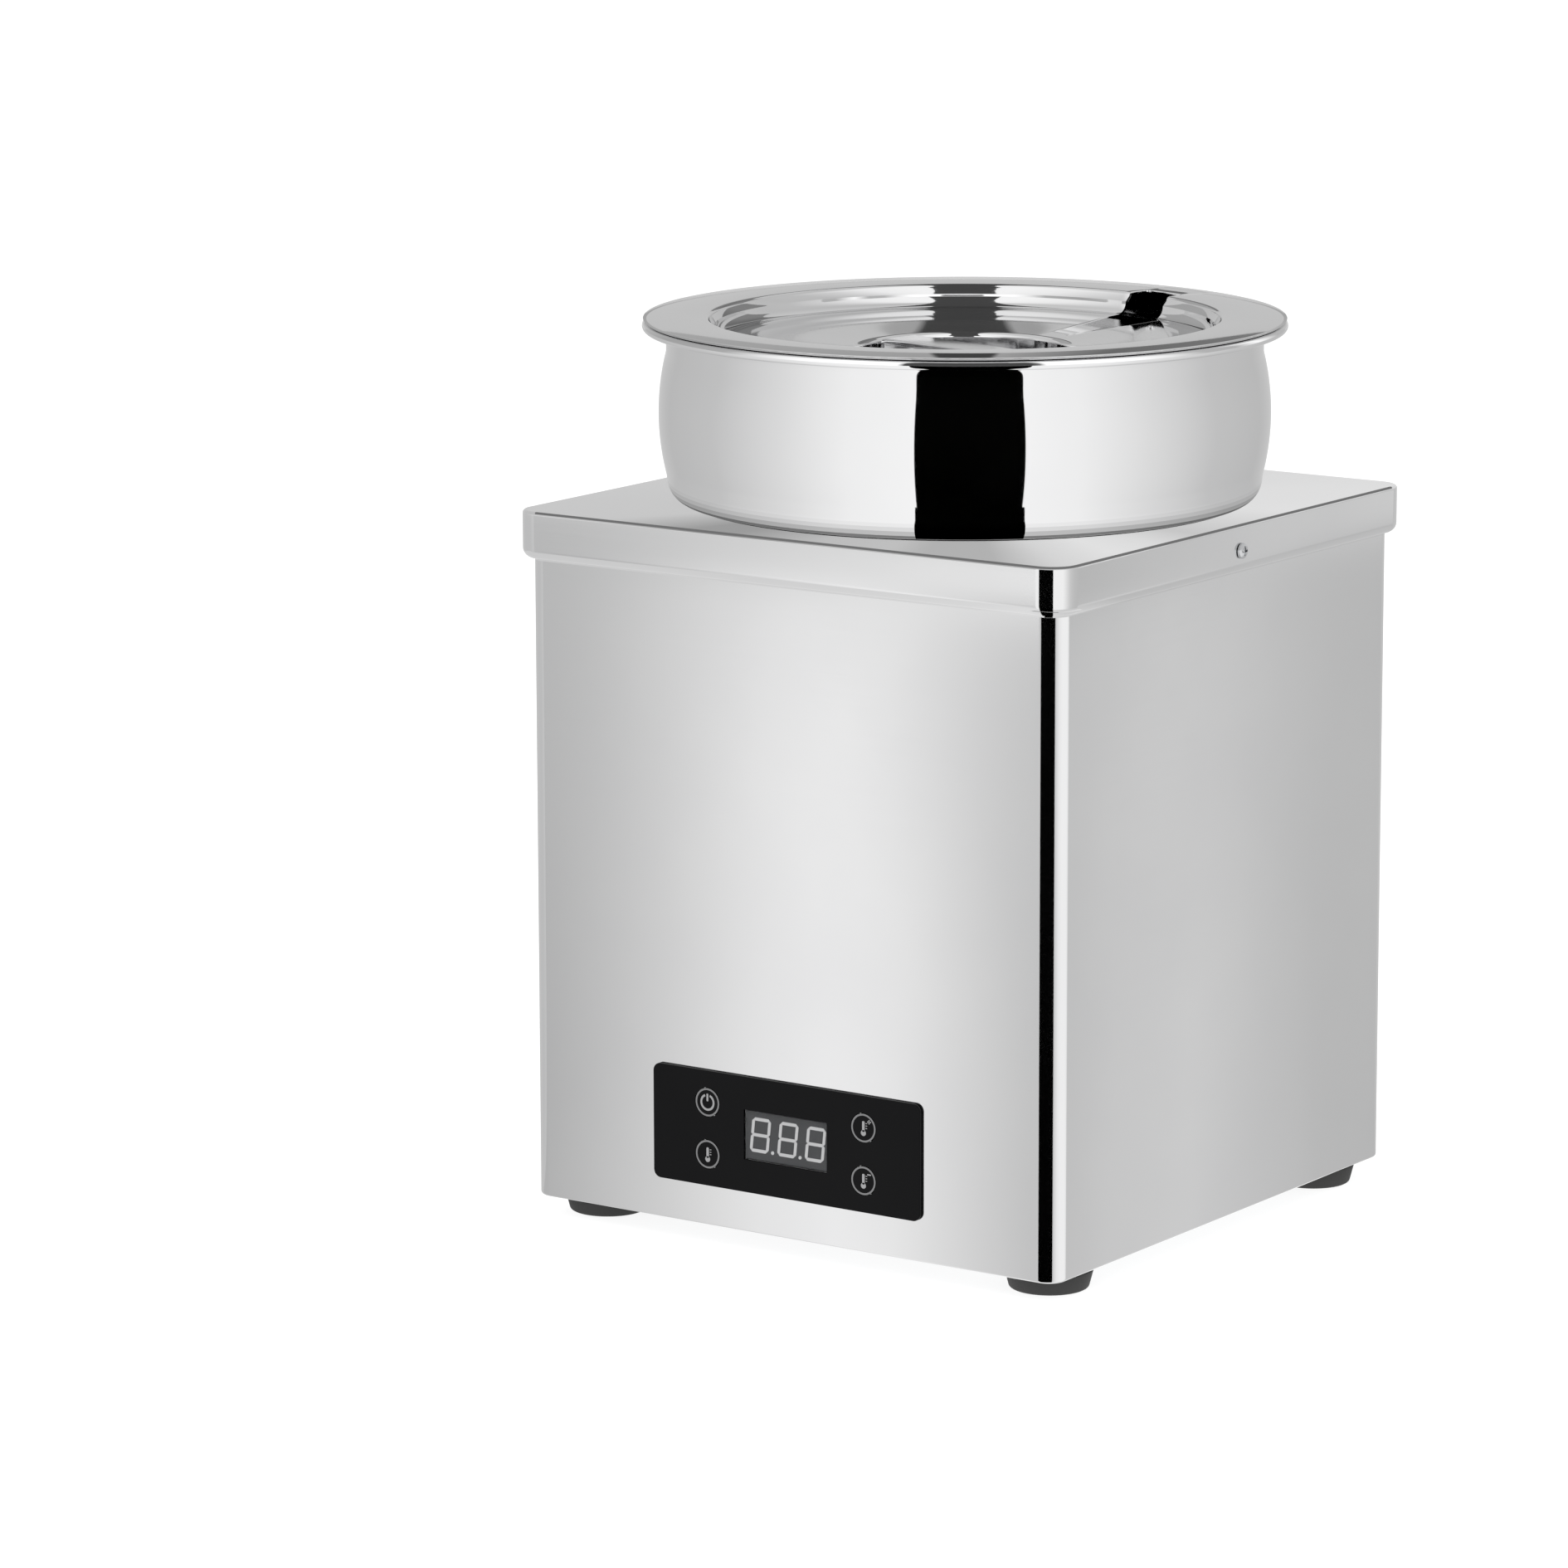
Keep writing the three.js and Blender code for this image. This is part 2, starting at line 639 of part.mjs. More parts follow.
// Upper face of the lid, from the middle of its cup to the edge of its flange
function lidLine() {
  const quarter = Math.PI / 2;
  const cupFloor = lidTop - cupDrop - cupDepth;
  const cupFoot = cupRadius - cupTopBend - cupFootBend;
  const wallFoot = recessRadius - recessWallLean - recessFootBend;
  const wallFootZ = lidTop - recessDrop + recessFootBend;
  const wallTop = recessRadius + recessTopBend;
  return [
    new THREE.Vector2(0, cupFloor),
    ...arc(cupFoot, cupFloor + cupFootBend, cupFootBend, -quarter, 0, bendFacets),
    ...arc(cupRadius, lidTop - cupDrop - cupTopBend, cupTopBend, Math.PI, quarter, bendFacets),
    ...arc(wallFoot, wallFootZ, recessFootBend, -quarter, 0, bendFacets),
    ...arc(wallTop, lidTop - recessTopBend, recessTopBend, Math.PI, quarter, bendFacets),
    new THREE.Vector2(lidRadius - lidEdgeRadius, lidTop),
    new THREE.Vector2(lidRadius, lidTop - lidEdgeRadius),
  ];
}

// The lid, with the ladle notch cut through its flange, wall and floor, behind the cup
function lid() {
  const body = turned(sheetSection(lidLine(), lidSheet));
  const length = notchOuterRadius - notchInnerRadius;
  const slot = roundedRect(notchWidth, length, notchCorner, 0, notchInnerRadius + length / 2);
  return cut(body, [plateZ(slot, lidTop - cupDrop - cupDepth, lidTop + cutOverrun)]);
}

// Strap across the lid's cup: its two ends turn down against the wall of the cup
function lidHandle() {
  const top = lidTop - cupDrop;
  const wall = cupRadius - cupTopBend - 2 * seatGap;
  const reach = Math.sqrt(wall * wall - strapWidth * strapWidth / 4);
  const foot = top - strapBend - strapTab;
  const inner = strapBend - strapSheet;
  const outline = new THREE.Shape([
    new THREE.Vector2(-reach, foot),
    new THREE.Vector2(-reach + strapSheet, foot),
    ...arc(-reach + strapBend, top - strapBend, inner, Math.PI, Math.PI / 2, bendFacets),
    ...arc(reach - strapBend, top - strapBend, inner, Math.PI / 2, 0, bendFacets),
    new THREE.Vector2(reach - strapSheet, foot),
    new THREE.Vector2(reach, foot),
    ...arc(reach - strapBend, top - strapBend, strapBend, 0, Math.PI / 2, bendFacets),
    ...arc(-reach + strapBend, top - strapBend, strapBend, Math.PI / 2, Math.PI, bendFacets),
  ]);
  return plateY(outline, -strapWidth / 2, strapWidth / 2);
}

// Deep-drawn well: a flange under the cover, a wall, a floor, and the stud that holds the heater
function well() {
  const flangeTop = coverUnderside - seatGap;
  const line = [
    new THREE.Vector2(0, wellFloor),
    ...arc(wellRadius - wellBend, wellFloor + wellBend, wellBend, -Math.PI / 2, 0, bendFacets),
    new THREE.Vector2(wellRadius, flangeTop),
    new THREE.Vector2(wellFlangeRadius, flangeTop),
  ];
  const studTop = wellFloor - wellSheet / 2;
  const stud = bar('z', studRadius, wellUnderside - studLength, studTop, 0, 0, screwFacets);
  return turned(sheetSection(line, wellSheet)).add(stud);
}

// Mineral wool round the wall of the well
function insulationJacket() {
  const inner = wellRadius + wellSheet + seatGap;
  const outer = inner + jacketThickness;
  const low = wellUnderside + jacketFootRise;
  const high = skirtBottom;
  return turned([
    new THREE.Vector2(inner, low),
    new THREE.Vector2(outer, low),
    new THREE.Vector2(outer, high),
    new THREE.Vector2(inner, high),
    new THREE.Vector2(inner, low),
  ]);
}

// Cast plate with the ridge of its heating element below and two terminals
function heatingPlate() {
  const outerRidge = heaterChannelRadius + heaterChannelWidth / 2;
  const innerRidge = heaterChannelRadius - heaterChannelWidth / 2;
  const low = channelUnderside - cutOverrun;
  const tip = heaterUnderside - terminalLength;
  const disc = bar('z', heaterRadius, heaterUnderside, heaterTop, 0, 0, roundFacets);
  const ridge = bar('z', outerRidge, channelUnderside, heaterTop, 0, 0, roundFacets)
    .subtract(bar('z', innerRidge, low, heaterUnderside, 0, 0, roundFacets));
  const terminals = [-1, 1].map((side) =>
    bar('z', terminalRadius, tip, heaterTop, side * terminalX, terminalY, screwFacets));
  const hole = bar('z', studRadius + seatGap, low, heaterTop + cutOverrun, 0, 0, screwFacets);
  return cut(all([disc, ridge, ...terminals]), [hole]);
}

function heaterClamp() {
  const outline = roundedRect(2 * heaterChannelRadius, clampWidth, clampWidth / 2);
  const low = clampTop - clampSheet;
  return cut(plateZ(outline, low, clampTop), [
    bar('z', studRadius + seatGap, low - cutOverrun, clampTop + cutOverrun, 0, 0, screwFacets),
  ]);
}

function heaterNut() {
  const sides = 6;
  return cut(bar('z', nutRadius, nutTop - nutHeight, nutTop, 0, 0, sides), [
    bar('z', studRadius + seatGap, nutTop - nutHeight - cutOverrun, nutTop + cutOverrun, 0, 0, screwFacets),
  ]);
}

// Disc thermostat under the heating plate, with its two tabs
function cutoutThermostat() {
  const top = heaterUnderside - seatGap;
  const tabs = [-1, 1].map((side) => {
    const x = cutoutX + side * cutoutTab.offset;
    const low = top - cutoutHeight - cutoutTab.length;
    return block([x - cutoutTab.thickness / 2, x + cutoutTab.thickness / 2],
      [cutoutY - cutoutTab.width / 2, cutoutY + cutoutTab.width / 2], [low, top - cutoutHeight / 2]);
  });
  return all([bar('z', cutoutRadius, top - cutoutHeight, top, cutoutX, cutoutY), ...tabs]);
}

function temperatureProbe() {
  const top = heaterUnderside - seatGap;
  return bar('z', probeRadius, top - probeLength, top, probeX, probeY, screwFacets);
}

// Glossy front plate with a window for the display and four round key holes
function controlFascia() {
  const outline = roundedRect(fasciaWidth, fasciaHeight, fasciaCorner, 0, panelZ);
  outline.holes.push(ledWindow());
  const plate = plateY(outline, fasciaFront, fasciaFront + fasciaThickness);
  return cut(plate, keyPlaces().map(([x, z]) =>
    bar('y', keyRadius + seatGap, fasciaFront - cutOverrun, fasciaFront + cutOverrun, x, z)));
}

function ledBox(low, high) {
  return block([-ledWidth / 2, ledWidth / 2], [low, high], [panelZ - ledHeight / 2, panelZ + ledHeight / 2]);
}

// Key cap and the stem that pushes its switch; the front face lies at zero, the stem runs along +Y
function keyCap() {
  return bar('y', keyRadius, 0, keyThickness)
    .add(bar('y', keyStemRadius, keyThickness / 2, stemEnd - fasciaFront, 0, 0, screwFacets));
}

// Switch on the display board; its back lies at zero and its actuator points to -Y
function keySwitch() {
  const half = switchSide / 2;
  return block([-half, half], [-switchHeight, 0], [-half, half])
    .add(bar('y', actuatorRadius, -(switchHeight + actuatorHeight), -switchHeight / 2, 0, 0, screwFacets));
}

// Frame that spaces the display board behind the front wall
function displayFrame() {
  const outline = roundedRect(frameWidth, frameHeight, frameCorner, 0, panelZ);
  const insideWidth = frameWidth - 2 * frameWall;
  const insideHeight = frameHeight - 2 * frameWall;
  outline.holes.push(roundedRect(insideWidth, insideHeight, frameCorner, 0, panelZ));
  return plateY(outline, frameFront, boardFront - seatGap);
}

function displayBoard() {
  return plateY(roundedRect(frameWidth, frameHeight, frameCorner, 0, panelZ), boardFront, boardBack);
}

// Bracket on the base tray with a post under each corner of the power board
function boardBracket() {
  const plate = block([-bracketWidth / 2, bracketWidth / 2],
    [bracketY - bracketDepth / 2, bracketY + bracketDepth / 2], [trayTop + seatGap, bracketTop]);
  const x = bracketWidth / 2 - postInset;
  const front = bracketY - bracketDepth / 2 + postInset;
  const back = bracketY + bracketDepth / 2 - postInset;
  const low = bracketTop - bracketSheet / 2;
  const posts = [[-x, front], [x, front], [-x, back], [x, back]].map(([postX, postY]) =>
    bar('z', postRadius, low, bracketTop + postHeight, postX, postY, screwFacets));
  return all([plate, ...posts]);
}

function powerBoard() {
  return block([-bracketWidth / 2, bracketWidth / 2],
    [bracketY - bracketDepth / 2, bracketY + bracketDepth / 2], [powerBoardLow, powerBoardHigh]);
}

// Laminated core with its coil passing through it
function transformer() {
  const low = powerBoardHigh + seatGap;
  const middle = low + coreHeight / 2;
  const core = block([transformerX - coreWidth / 2, transformerX + coreWidth / 2],
    [bracketY - coreDepth / 2, bracketY + coreDepth / 2], [low, low + coreHeight]);
  const coil = block([transformerX - coilWidth / 2, transformerX + coilWidth / 2],
    [bracketY - coilDepth / 2, bracketY + coilDepth / 2],
    [middle - coilHeight / 2, middle + coilHeight / 2]);
  return core.add(coil);
}

function relay() {
  const low = powerBoardHigh + seatGap;
  return block([relayX - relayWidth / 2, relayX + relayWidth / 2],
    [relayY - relayDepth / 2, relayY + relayDepth / 2], [low, low + relayHeight]);
}

function pinPlaces() {
  return {
    live: [inletX - pinOffsetX, inletZ - pinOffsetZ],
    neutral: [inletX + pinOffsetX, inletZ - pinOffsetZ],
    earth: [inletX, inletZ + pinOffsetZ],
  };
}

function pinBlock([x, z], low, high, gap = 0) {
  const halfX = pinWidth / 2 + gap;
  const halfZ = pinHeight / 2 + gap;
  return block([x - halfX, x + halfX], [low, high], [z - halfZ, z + halfZ]);
}

// Flanged appliance inlet: a deep mouth, three slots for its pins and two screw holes
function inletSocket() {
  const slab = ({ width, height, corner }, low, high) =>
    plateY(roundedRect(width, height, corner, inletX, inletZ), low, high);
  const floor = inletFace - inletMouth.depth;
  const past = inletFace + cutOverrun;
  const flange = slab(inletFlange, inletFlangeInner, inletFace);
  const body = slab(inletBody, inletBack, inletFlangeInner + inletFlange.thickness / 2);
  const mouth = slab(inletMouth, floor, past);
  const slots = Object.values(pinPlaces()).map((place) =>
    pinBlock(place, inletBack - cutOverrun, floor + cutOverrun, seatGap));
  const shankRadius = inletScrew.shank + screwHoleGap;
  const headRadius = inletScrew.head + screwHoleGap;
  const headFloor = inletFace - inletScrew.rise - seatGap;
  const holes = [-1, 1].flatMap((side) => {
    const x = inletX + side * inletScrewOffset;
    return [
      bar('y', shankRadius, inletFlangeInner - cutOverrun, past, x, inletZ, screwFacets),
      bar('y', headRadius, headFloor, past, x, inletZ, screwFacets),
    ];
  });
  return cut(flange.add(body), [mouth, ...slots, ...holes]);
}

// A round lead along a smooth curve through the places of its route
function lead(route) {
  const path = new THREE.CatmullRomCurve3(route.map((place) => new THREE.Vector3(...place)));
  const section = new THREE.Shape(arc(0, 0, leadRadius, 0, 2 * Math.PI, leadFacets).slice(0, -1));
  const settings = { steps: leadSteps, extrudePath: path, bevelEnabled: false };
  return solidOf(new THREE.ExtrudeGeometry(section, settings));
}

// A flat cable of one width along a bent line in Y and Z
function ribbonCable() {
  const half = ribbonThickness / 2;
  const start = boardBack + seatGap;
  const end = bracketY - bracketDepth / 2 + postInset;
  const low = powerBoardHigh + seatGap;
  const outline = new THREE.Shape([
    new THREE.Vector2(start, panelZ - half),
    new THREE.Vector2(end + half, panelZ - half),
    new THREE.Vector2(end + half, low),
    new THREE.Vector2(end + half + ribbonThickness, low),
    new THREE.Vector2(end + half + ribbonThickness, panelZ + half),
    new THREE.Vector2(start, panelZ + half),
  ]);
  const geometry = new THREE.ExtrudeGeometry(outline, { depth: ribbonWidth, bevelEnabled: false });
  geometry.rotateZ(Math.PI / 2);
  geometry.rotateY(Math.PI / 2);
  geometry.translate(-ribbonWidth / 2, 0, 0);
  return solidOf(geometry);
}

// Casing
addPiece('cabinet_wrap', cabinetWrap(), 'satinSteel');
addPiece('top_cover', topCover(), 'satinSteel');
addPiece('rear_panel', rearPanel(), 'satinSteel');
addPiece('base_tray', baseTray(), 'zincSteel');
rearScrewPlaces().forEach(([x, z], i) => {
  const piece = addPiece(`rear_screw_${i + 1}`, screw(panelScrew), 'polishedSteel');
  piece.position.set(x, rearPanelOuter + seatGap, z);
  piece.rotation.x = -Math.PI / 2;
});
for (const [name, side] of [['left', -1], ['right', 1]]) {
  const piece = addPiece(`cover_screw_${name}`, screw(panelScrew), 'polishedSteel');
  piece.position.set(side * (halfCover + seatGap), 0, coverScrewZ);
  piece.rotation.y = side * Math.PI / 2;
}
for (const [name, [x, y]] of Object.entries(footPlaces())) {
  addPiece(`foot_${name}`, foot(), 'rubber').position.set(x, y, 0);
  const piece = addPiece(`foot_screw_${name}`, screw(footScrew), 'zincSteel');
  piece.position.set(x, y, footRecessDepth - seatGap);
  piece.rotation.x = Math.PI;
}

// Pot and lid
addPiece('pot', pot(), 'polishedSteel');
const lidGroup = new THREE.Group();
lidGroup.rotation.z = THREE.MathUtils.degToRad(lidTurn);
warmer.add(lidGroup);
addPiece('lid', lid(), 'polishedSteel', lidGroup);
addPiece('lid_handle', lidHandle(), 'polishedSteel', lidGroup);

// Heated well
addPiece('well', well(), 'polishedSteel');
addPiece('insulation_jacket', insulationJacket(), 'mineralWool');
addPiece('heating_plate', heatingPlate(), 'aluminium');
addPiece('heater_clamp', heaterClamp(), 'zincSteel');
addPiece('heater_nut', heaterNut(), 'zincSteel');
addPiece('cutout_thermostat', cutoutThermostat(), 'aluminium');
addPiece('temperature_probe', temperatureProbe(), 'polishedSteel');

// Controls
addPiece('control_fascia', controlFascia(), 'blackFascia');
addPiece('display_lens', ledBox(fasciaFront, fasciaFront + lensThickness), 'displayLens');
addPiece('led_display', ledBox(ledFront, ledFront + ledDepth), 'ledPlastic');
addPiece('display_frame', displayFrame(), 'blackPlastic');
addPiece('display_board', displayBoard(), 'circuitBoard');
['power', 'mode', 'up', 'down'].forEach((name, i) => {
  const [x, z] = keyPlaces()[i];
  addPiece(`key_${name}`, keyCap(), 'blackFascia').position.set(x, fasciaFront, z);
  addPiece(`key_switch_${name}`, keySwitch(), 'blackPlastic').position.set(x, boardFront - seatGap, z);
});

// Electronics and power inlet
addPiece('board_bracket', boardBracket(), 'zincSteel');
addPiece('power_board', powerBoard(), 'circuitBoard');
addPiece('transformer', transformer(), 'copperCoil');
addPiece('relay', relay(), 'blackPlastic');
addPiece('inlet_socket', inletSocket(), 'blackPlastic');
for (const [name, place] of Object.entries(pinPlaces())) {
  addPiece(`inlet_pin_${name}`, pinBlock(place, pinEnd, pinTip), 'brass');
}
for (const [name, side] of [['left', -1], ['right', 1]]) {
  const piece = addPiece(`inlet_screw_${name}`, screw(inletScrew), 'zincSteel');
  piece.position.set(inletX + side * inletScrewOffset, inletFace - inletScrew.rise, inletZ);
  piece.rotation.x = -Math.PI / 2;
}
addPiece('earth_screw', screw(earthScrew), 'brass').position.set(earthScrewX, earthScrewY, trayTop + seatGap);

// Leads: each starts and ends a seat gap from what it joins, and runs straight there
const pins = pinPlaces();
const leadStart = pinEnd - seatGap;
const boardLeadZ = powerBoardHigh + seatGap;
const boardRearY = bracketY + bracketDepth / 2 - postInset;
const boardRightX = bracketWidth / 2;
for (const [name, finish, endX] of [
  ['live', 'redSleeve', boardRightX - 3 * postInset],
  ['neutral', 'blueSleeve', boardRightX - 2 * postInset],
]) {
  const [x, z] = pins[name];
  addPiece(`${name}_lead`, lead([
    [x, leadStart, z],
    [x, leadStart - leadStraight, z],
    [(x + endX) / 2, boardRearY + leadStraight, (inletZ + boardLeadZ) / 2],
    [endX, boardRearY, boardLeadZ + leadStraight],
    [endX, boardRearY, boardLeadZ],
  ]), finish);
}
const earthTop = trayTop + seatGap + earthScrew.rise + seatGap;
const [earthX, earthZ] = pins.earth;
addPiece('earth_lead', lead([
  [earthX, leadStart, earthZ],
  [earthX, leadStart - leadStraight / 2, earthZ],
  [(earthX + earthScrewX) / 2, (leadStart + earthScrewY) / 2, earthZ + leadStraight / 2],
  [earthScrewX, earthScrewY, earthTop + leadStraight],
  [earthScrewX, earthScrewY, earthTop],
]), 'greenSleeve');
for (const [name, side] of [['left', -1], ['right', 1]]) {
  const top = heaterUnderside - terminalLength - seatGap;
  addPiece(`heater_lead_${name}`, lead([
    [side * terminalX, terminalY, top],
    [side * terminalX, terminalY, top - leadStraight],
    [side * terminalX, terminalY + leadStraight, (top + boardLeadZ) / 2],
    [side * terminalX / 2, boardRearY, boardLeadZ + leadStraight],
    [side * terminalX / 2, boardRearY, boardLeadZ],
  ]), 'whiteSleeve');
}
const probeEnd = heaterUnderside - seatGap - probeLength - seatGap;
const probeLandX = boardRightX - 2 * postInset;
const probeLandY = bracketY - leadStraight;
addPiece('probe_lead', lead([
  [probeX, probeY, probeEnd],
  [probeX, probeY, probeEnd - leadStraight],
  [probeLandX + postInset, probeLandY, (probeEnd + boardLeadZ) / 2],
  [probeLandX, probeLandY, boardLeadZ + leadStraight],
  [probeLandX, probeLandY, boardLeadZ],
]), 'greySleeve');
addPiece('ribbon_cable', ribbonCable(), 'greySleeve');

export default warmer;
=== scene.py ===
from math import cos, pi, radians, sin, tan

import bmesh
import bpy
from mathutils import Matrix, Vector


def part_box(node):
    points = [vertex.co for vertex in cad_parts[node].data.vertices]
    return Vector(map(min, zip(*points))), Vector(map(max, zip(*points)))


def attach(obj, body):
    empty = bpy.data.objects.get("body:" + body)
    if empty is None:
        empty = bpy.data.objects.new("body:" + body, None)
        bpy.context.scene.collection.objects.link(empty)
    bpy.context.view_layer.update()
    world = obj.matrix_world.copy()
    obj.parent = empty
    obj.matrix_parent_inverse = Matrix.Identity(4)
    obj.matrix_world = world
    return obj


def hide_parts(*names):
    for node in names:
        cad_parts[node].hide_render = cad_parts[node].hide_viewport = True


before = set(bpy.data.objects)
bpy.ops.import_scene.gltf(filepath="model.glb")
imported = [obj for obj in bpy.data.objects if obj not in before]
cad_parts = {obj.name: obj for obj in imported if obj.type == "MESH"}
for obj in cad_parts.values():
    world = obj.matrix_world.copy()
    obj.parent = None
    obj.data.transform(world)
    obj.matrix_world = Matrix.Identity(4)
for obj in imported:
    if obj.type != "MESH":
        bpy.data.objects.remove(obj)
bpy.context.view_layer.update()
scene = bpy.context.scene
mm = 0.001
same = 0.01     # millimetres within which two heights are one


# Mesh helpers: every shape is drawn in millimetres and scaled to metres when it becomes a piece

def vertsOf(geom):
    return [item for item in geom if isinstance(item, bmesh.types.BMVert)]


def heightOf(face):
    return face.calc_center_median().z


def move(bm, x, y, z, verts=None):
    bmesh.ops.translate(bm, vec=(x, y, z), verts=verts or bm.verts[:])
    return bm


def rotate(bm, degrees, axis="Z"):
    bmesh.ops.rotate(bm, matrix=Matrix.Rotation(radians(degrees), 3, axis), verts=bm.verts[:])
    return bm


def normalsOut(bm):
    bmesh.ops.recalc_face_normals(bm, faces=bm.faces[:])
    return bm


def roundOff(bm, geom, offset, segments, affect="EDGES"):
    bmesh.ops.bevel(bm, geom=geom, offset=offset, offset_type="OFFSET", segments=segments, profile=0.5,
                    affect=affect, material=-1)


def drawLine(start, legs):
    # a line in radius and height: a pair goes straight there, and a longer leg turns about a centre, given as
    # radius, height, degrees and steps, with the arc's squeeze along both after them where it isn't round
    bm = bmesh.new()
    last = bm.verts.new((start[0], 0, start[1]))
    for leg in legs:
        if len(leg) == 2:
            last = bmesh.ops.extrude_vert_indiv(bm, verts=[last])["verts"][0]
            last.co = (leg[0], 0, leg[1])
            continue
        centreR, centreZ, degrees, steps, *squeeze = leg
        squeezeR, squeezeZ = squeeze or (1, 1)
        before = set(bm.verts)
        arc = bmesh.ops.spin(bm, geom=[last], cent=(centreR, 0, centreZ), axis=(0, -1, 0), angle=radians(degrees),
                             steps=steps)
        last = vertsOf(arc["geom_last"])[0]
        made = [vert for vert in bm.verts if vert not in before]
        centre = Matrix.Translation((-centreR, 0, -centreZ))
        bmesh.ops.scale(bm, vec=(squeezeR, 1, squeezeZ), space=centre, verts=made)
    return bm


def closeLine(bm):
    ends = [vert for vert in bm.verts if len(vert.link_edges) == 1]
    bmesh.ops.contextual_create(bm, geom=ends)
    return bm


def spinRound(bm, sides):
    bmesh.ops.spin(bm, geom=bm.verts[:] + bm.edges[:], cent=(0, 0, 0), axis=(0, 0, 1),
                   angle=2 * pi, steps=sides, use_merge=True)
    bmesh.ops.remove_doubles(bm, verts=bm.verts[:], dist=0.002)
    return normalsOut(bm)


def faceUp(bm):
    # the face nearest the axis looks up, so that a sheet gets its wall below and outside the line
    middle = min(bm.faces, key=lambda face: face.calc_center_median().xy.length)
    if middle.normal.z < 0:
        bmesh.ops.reverse_faces(bm, faces=bm.faces[:])
    return bm


# Flat shapes in X and Y

def flatShape(corners, z=0):
    bm = bmesh.new()
    bmesh.ops.contextual_create(bm, geom=[bm.verts.new((x, y, z)) for x, y in corners])
    return bm


def flatBar(width, height, x, y, corner, segments=4):
    bm = bmesh.new()
    made = bmesh.ops.create_grid(bm, x_segments=1, y_segments=1, size=0.5)["verts"]
    bmesh.ops.scale(bm, vec=(width, height, 1), verts=made)
    roundOff(move(bm, x, y, 0), made, corner, segments, "VERTICES")
    return bm


def flatDisc(radius, x, y, segments=32):
    bm = bmesh.new()
    bmesh.ops.create_circle(bm, cap_ends=True, segments=segments, radius=radius)
    return move(bm, x, y, 0)


def flatRing(outer, inner, start=0, sweep=360, sides=72):
    # a ring or part of one
    bm = bmesh.new()
    ends = [bm.verts.new((inner, 0, 0)), bm.verts.new((outer, 0, 0))]
    edge = bm.edges.new(ends)
    bmesh.ops.spin(rotate(bm, start), geom=[*ends, edge], cent=(0, 0, 0), axis=(0, 0, 1), angle=radians(sweep),
                   steps=max(int(sides * sweep / 360), 2), use_merge=sweep >= 360)
    return bm


def thicken(bm, relief):
    raised = bmesh.ops.extrude_face_region(bm, geom=bm.faces[:])
    return normalsOut(move(bm, 0, 0, relief, vertsOf(raised["geom"])))


# Solid shapes

def roundedSlab(width, height, corner, low, high, segments=8):
    # a plate with round corners in X and Y, from low to high in Z
    return thicken(move(flatBar(width, height, 0, 0, corner, segments), 0, 0, low), high - low)


def boxShape(x, y, z):
    bm = bmesh.new()
    bmesh.ops.create_cube(bm, size=1)
    bmesh.ops.scale(bm, vec=(x[1] - x[0], y[1] - y[0], z[1] - z[0]), verts=bm.verts[:])
    return move(bm, (x[0] + x[1]) / 2, (y[0] + y[1]) / 2, (z[0] + z[1]) / 2)


def barShape(axis, radius, low, high, first=0, second=0, sides=48):
    # first and second are the bar's place on the other two axes, in X, Y, Z order
    bm = bmesh.new()
    bmesh.ops.create_cone(bm, cap_ends=True, segments=sides, radius1=radius, radius2=radius, depth=high - low)
    middle = (low + high) / 2
    place = {"x": (middle, first, second), "y": (first, middle, second), "z": (first, second, middle)}
    if axis != "z":
        rotate(bm, 90, {"x": "Y", "y": "X"}[axis])
    return move(bm, *place[axis])


def standUp(bm, x=0, z=0):
    # X stays, Y becomes Z, and Z becomes -Y
    return move(rotate(bm, 90, "X"), x, 0, z)


def together(shapes):
    joined = bmesh.new()
    for shape in shapes:
        spare = bpy.data.meshes.new("spare")
        shape.to_mesh(spare)
        shape.free()
        joined.from_mesh(spare)
        bpy.data.meshes.remove(spare)
    return joined


def meshObject(name, bm):
    bmesh.ops.scale(bm, vec=(mm, mm, mm), verts=bm.verts[:])
    mesh = bpy.data.meshes.new(name)
    bm.to_mesh(mesh)
    bm.free()
    made = bpy.data.objects.new(name, mesh)
    scene.collection.objects.link(made)
    return made


def bake(made):
    # the mesh as its modifiers leave it
    depsgraph = bpy.context.evaluated_depsgraph_get()
    mesh = bpy.data.meshes.new_from_object(made.evaluated_get(depsgraph))
    made.modifiers.clear()
    made.data = mesh


def addModifier(piece, name, kind, **settings):
    modifier = piece.modifiers.new(name, kind)
    for key, value in settings.items():
        setattr(modifier, key, value)


def addPiece(name, bm, material, body, nodes=(), sheet=0, cutter=None, edge=0, edgeSteps=2,
             sharp=38, flat=False):
    piece = meshObject(name, bm)
    if sheet:
        addModifier(piece, "wall", "SOLIDIFY", thickness=sheet * mm, offset=-1, use_even_offset=True)
    if cutter:
        tool = meshObject(name + "_cutter", cutter)
        addModifier(piece, "cut", "BOOLEAN", operation="DIFFERENCE", solver="EXACT", object=tool)
    if edge:
        addModifier(piece, "edge", "BEVEL", width=edge * mm, segments=edgeSteps, limit_method="ANGLE",
                    angle_limit=radians(sharp), use_clamp_overlap=True)
    bake(piece)
    if cutter:
        bpy.data.objects.remove(tool)
    piece.data.materials.clear()
    piece.data.materials.append(material)
    for polygon in piece.data.polygons:
        polygon.use_smooth = True
    piece.data.set_sharp_from_angle(angle=radians(sharp))
    if flat:
        addModifier(piece, "flatFaces", "WEIGHTED_NORMAL", keep_sharp=True, weight=100)
    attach(piece, body)
    if nodes:
        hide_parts(*nodes)
    return piece


# Material helpers

def lightOf(value):
    # a screen value from 0 to 255 as linear light
    share = value / 255
    return share / 12.92 if share <= 0.04045 else ((share + 0.055) / 1.055) ** 2.4


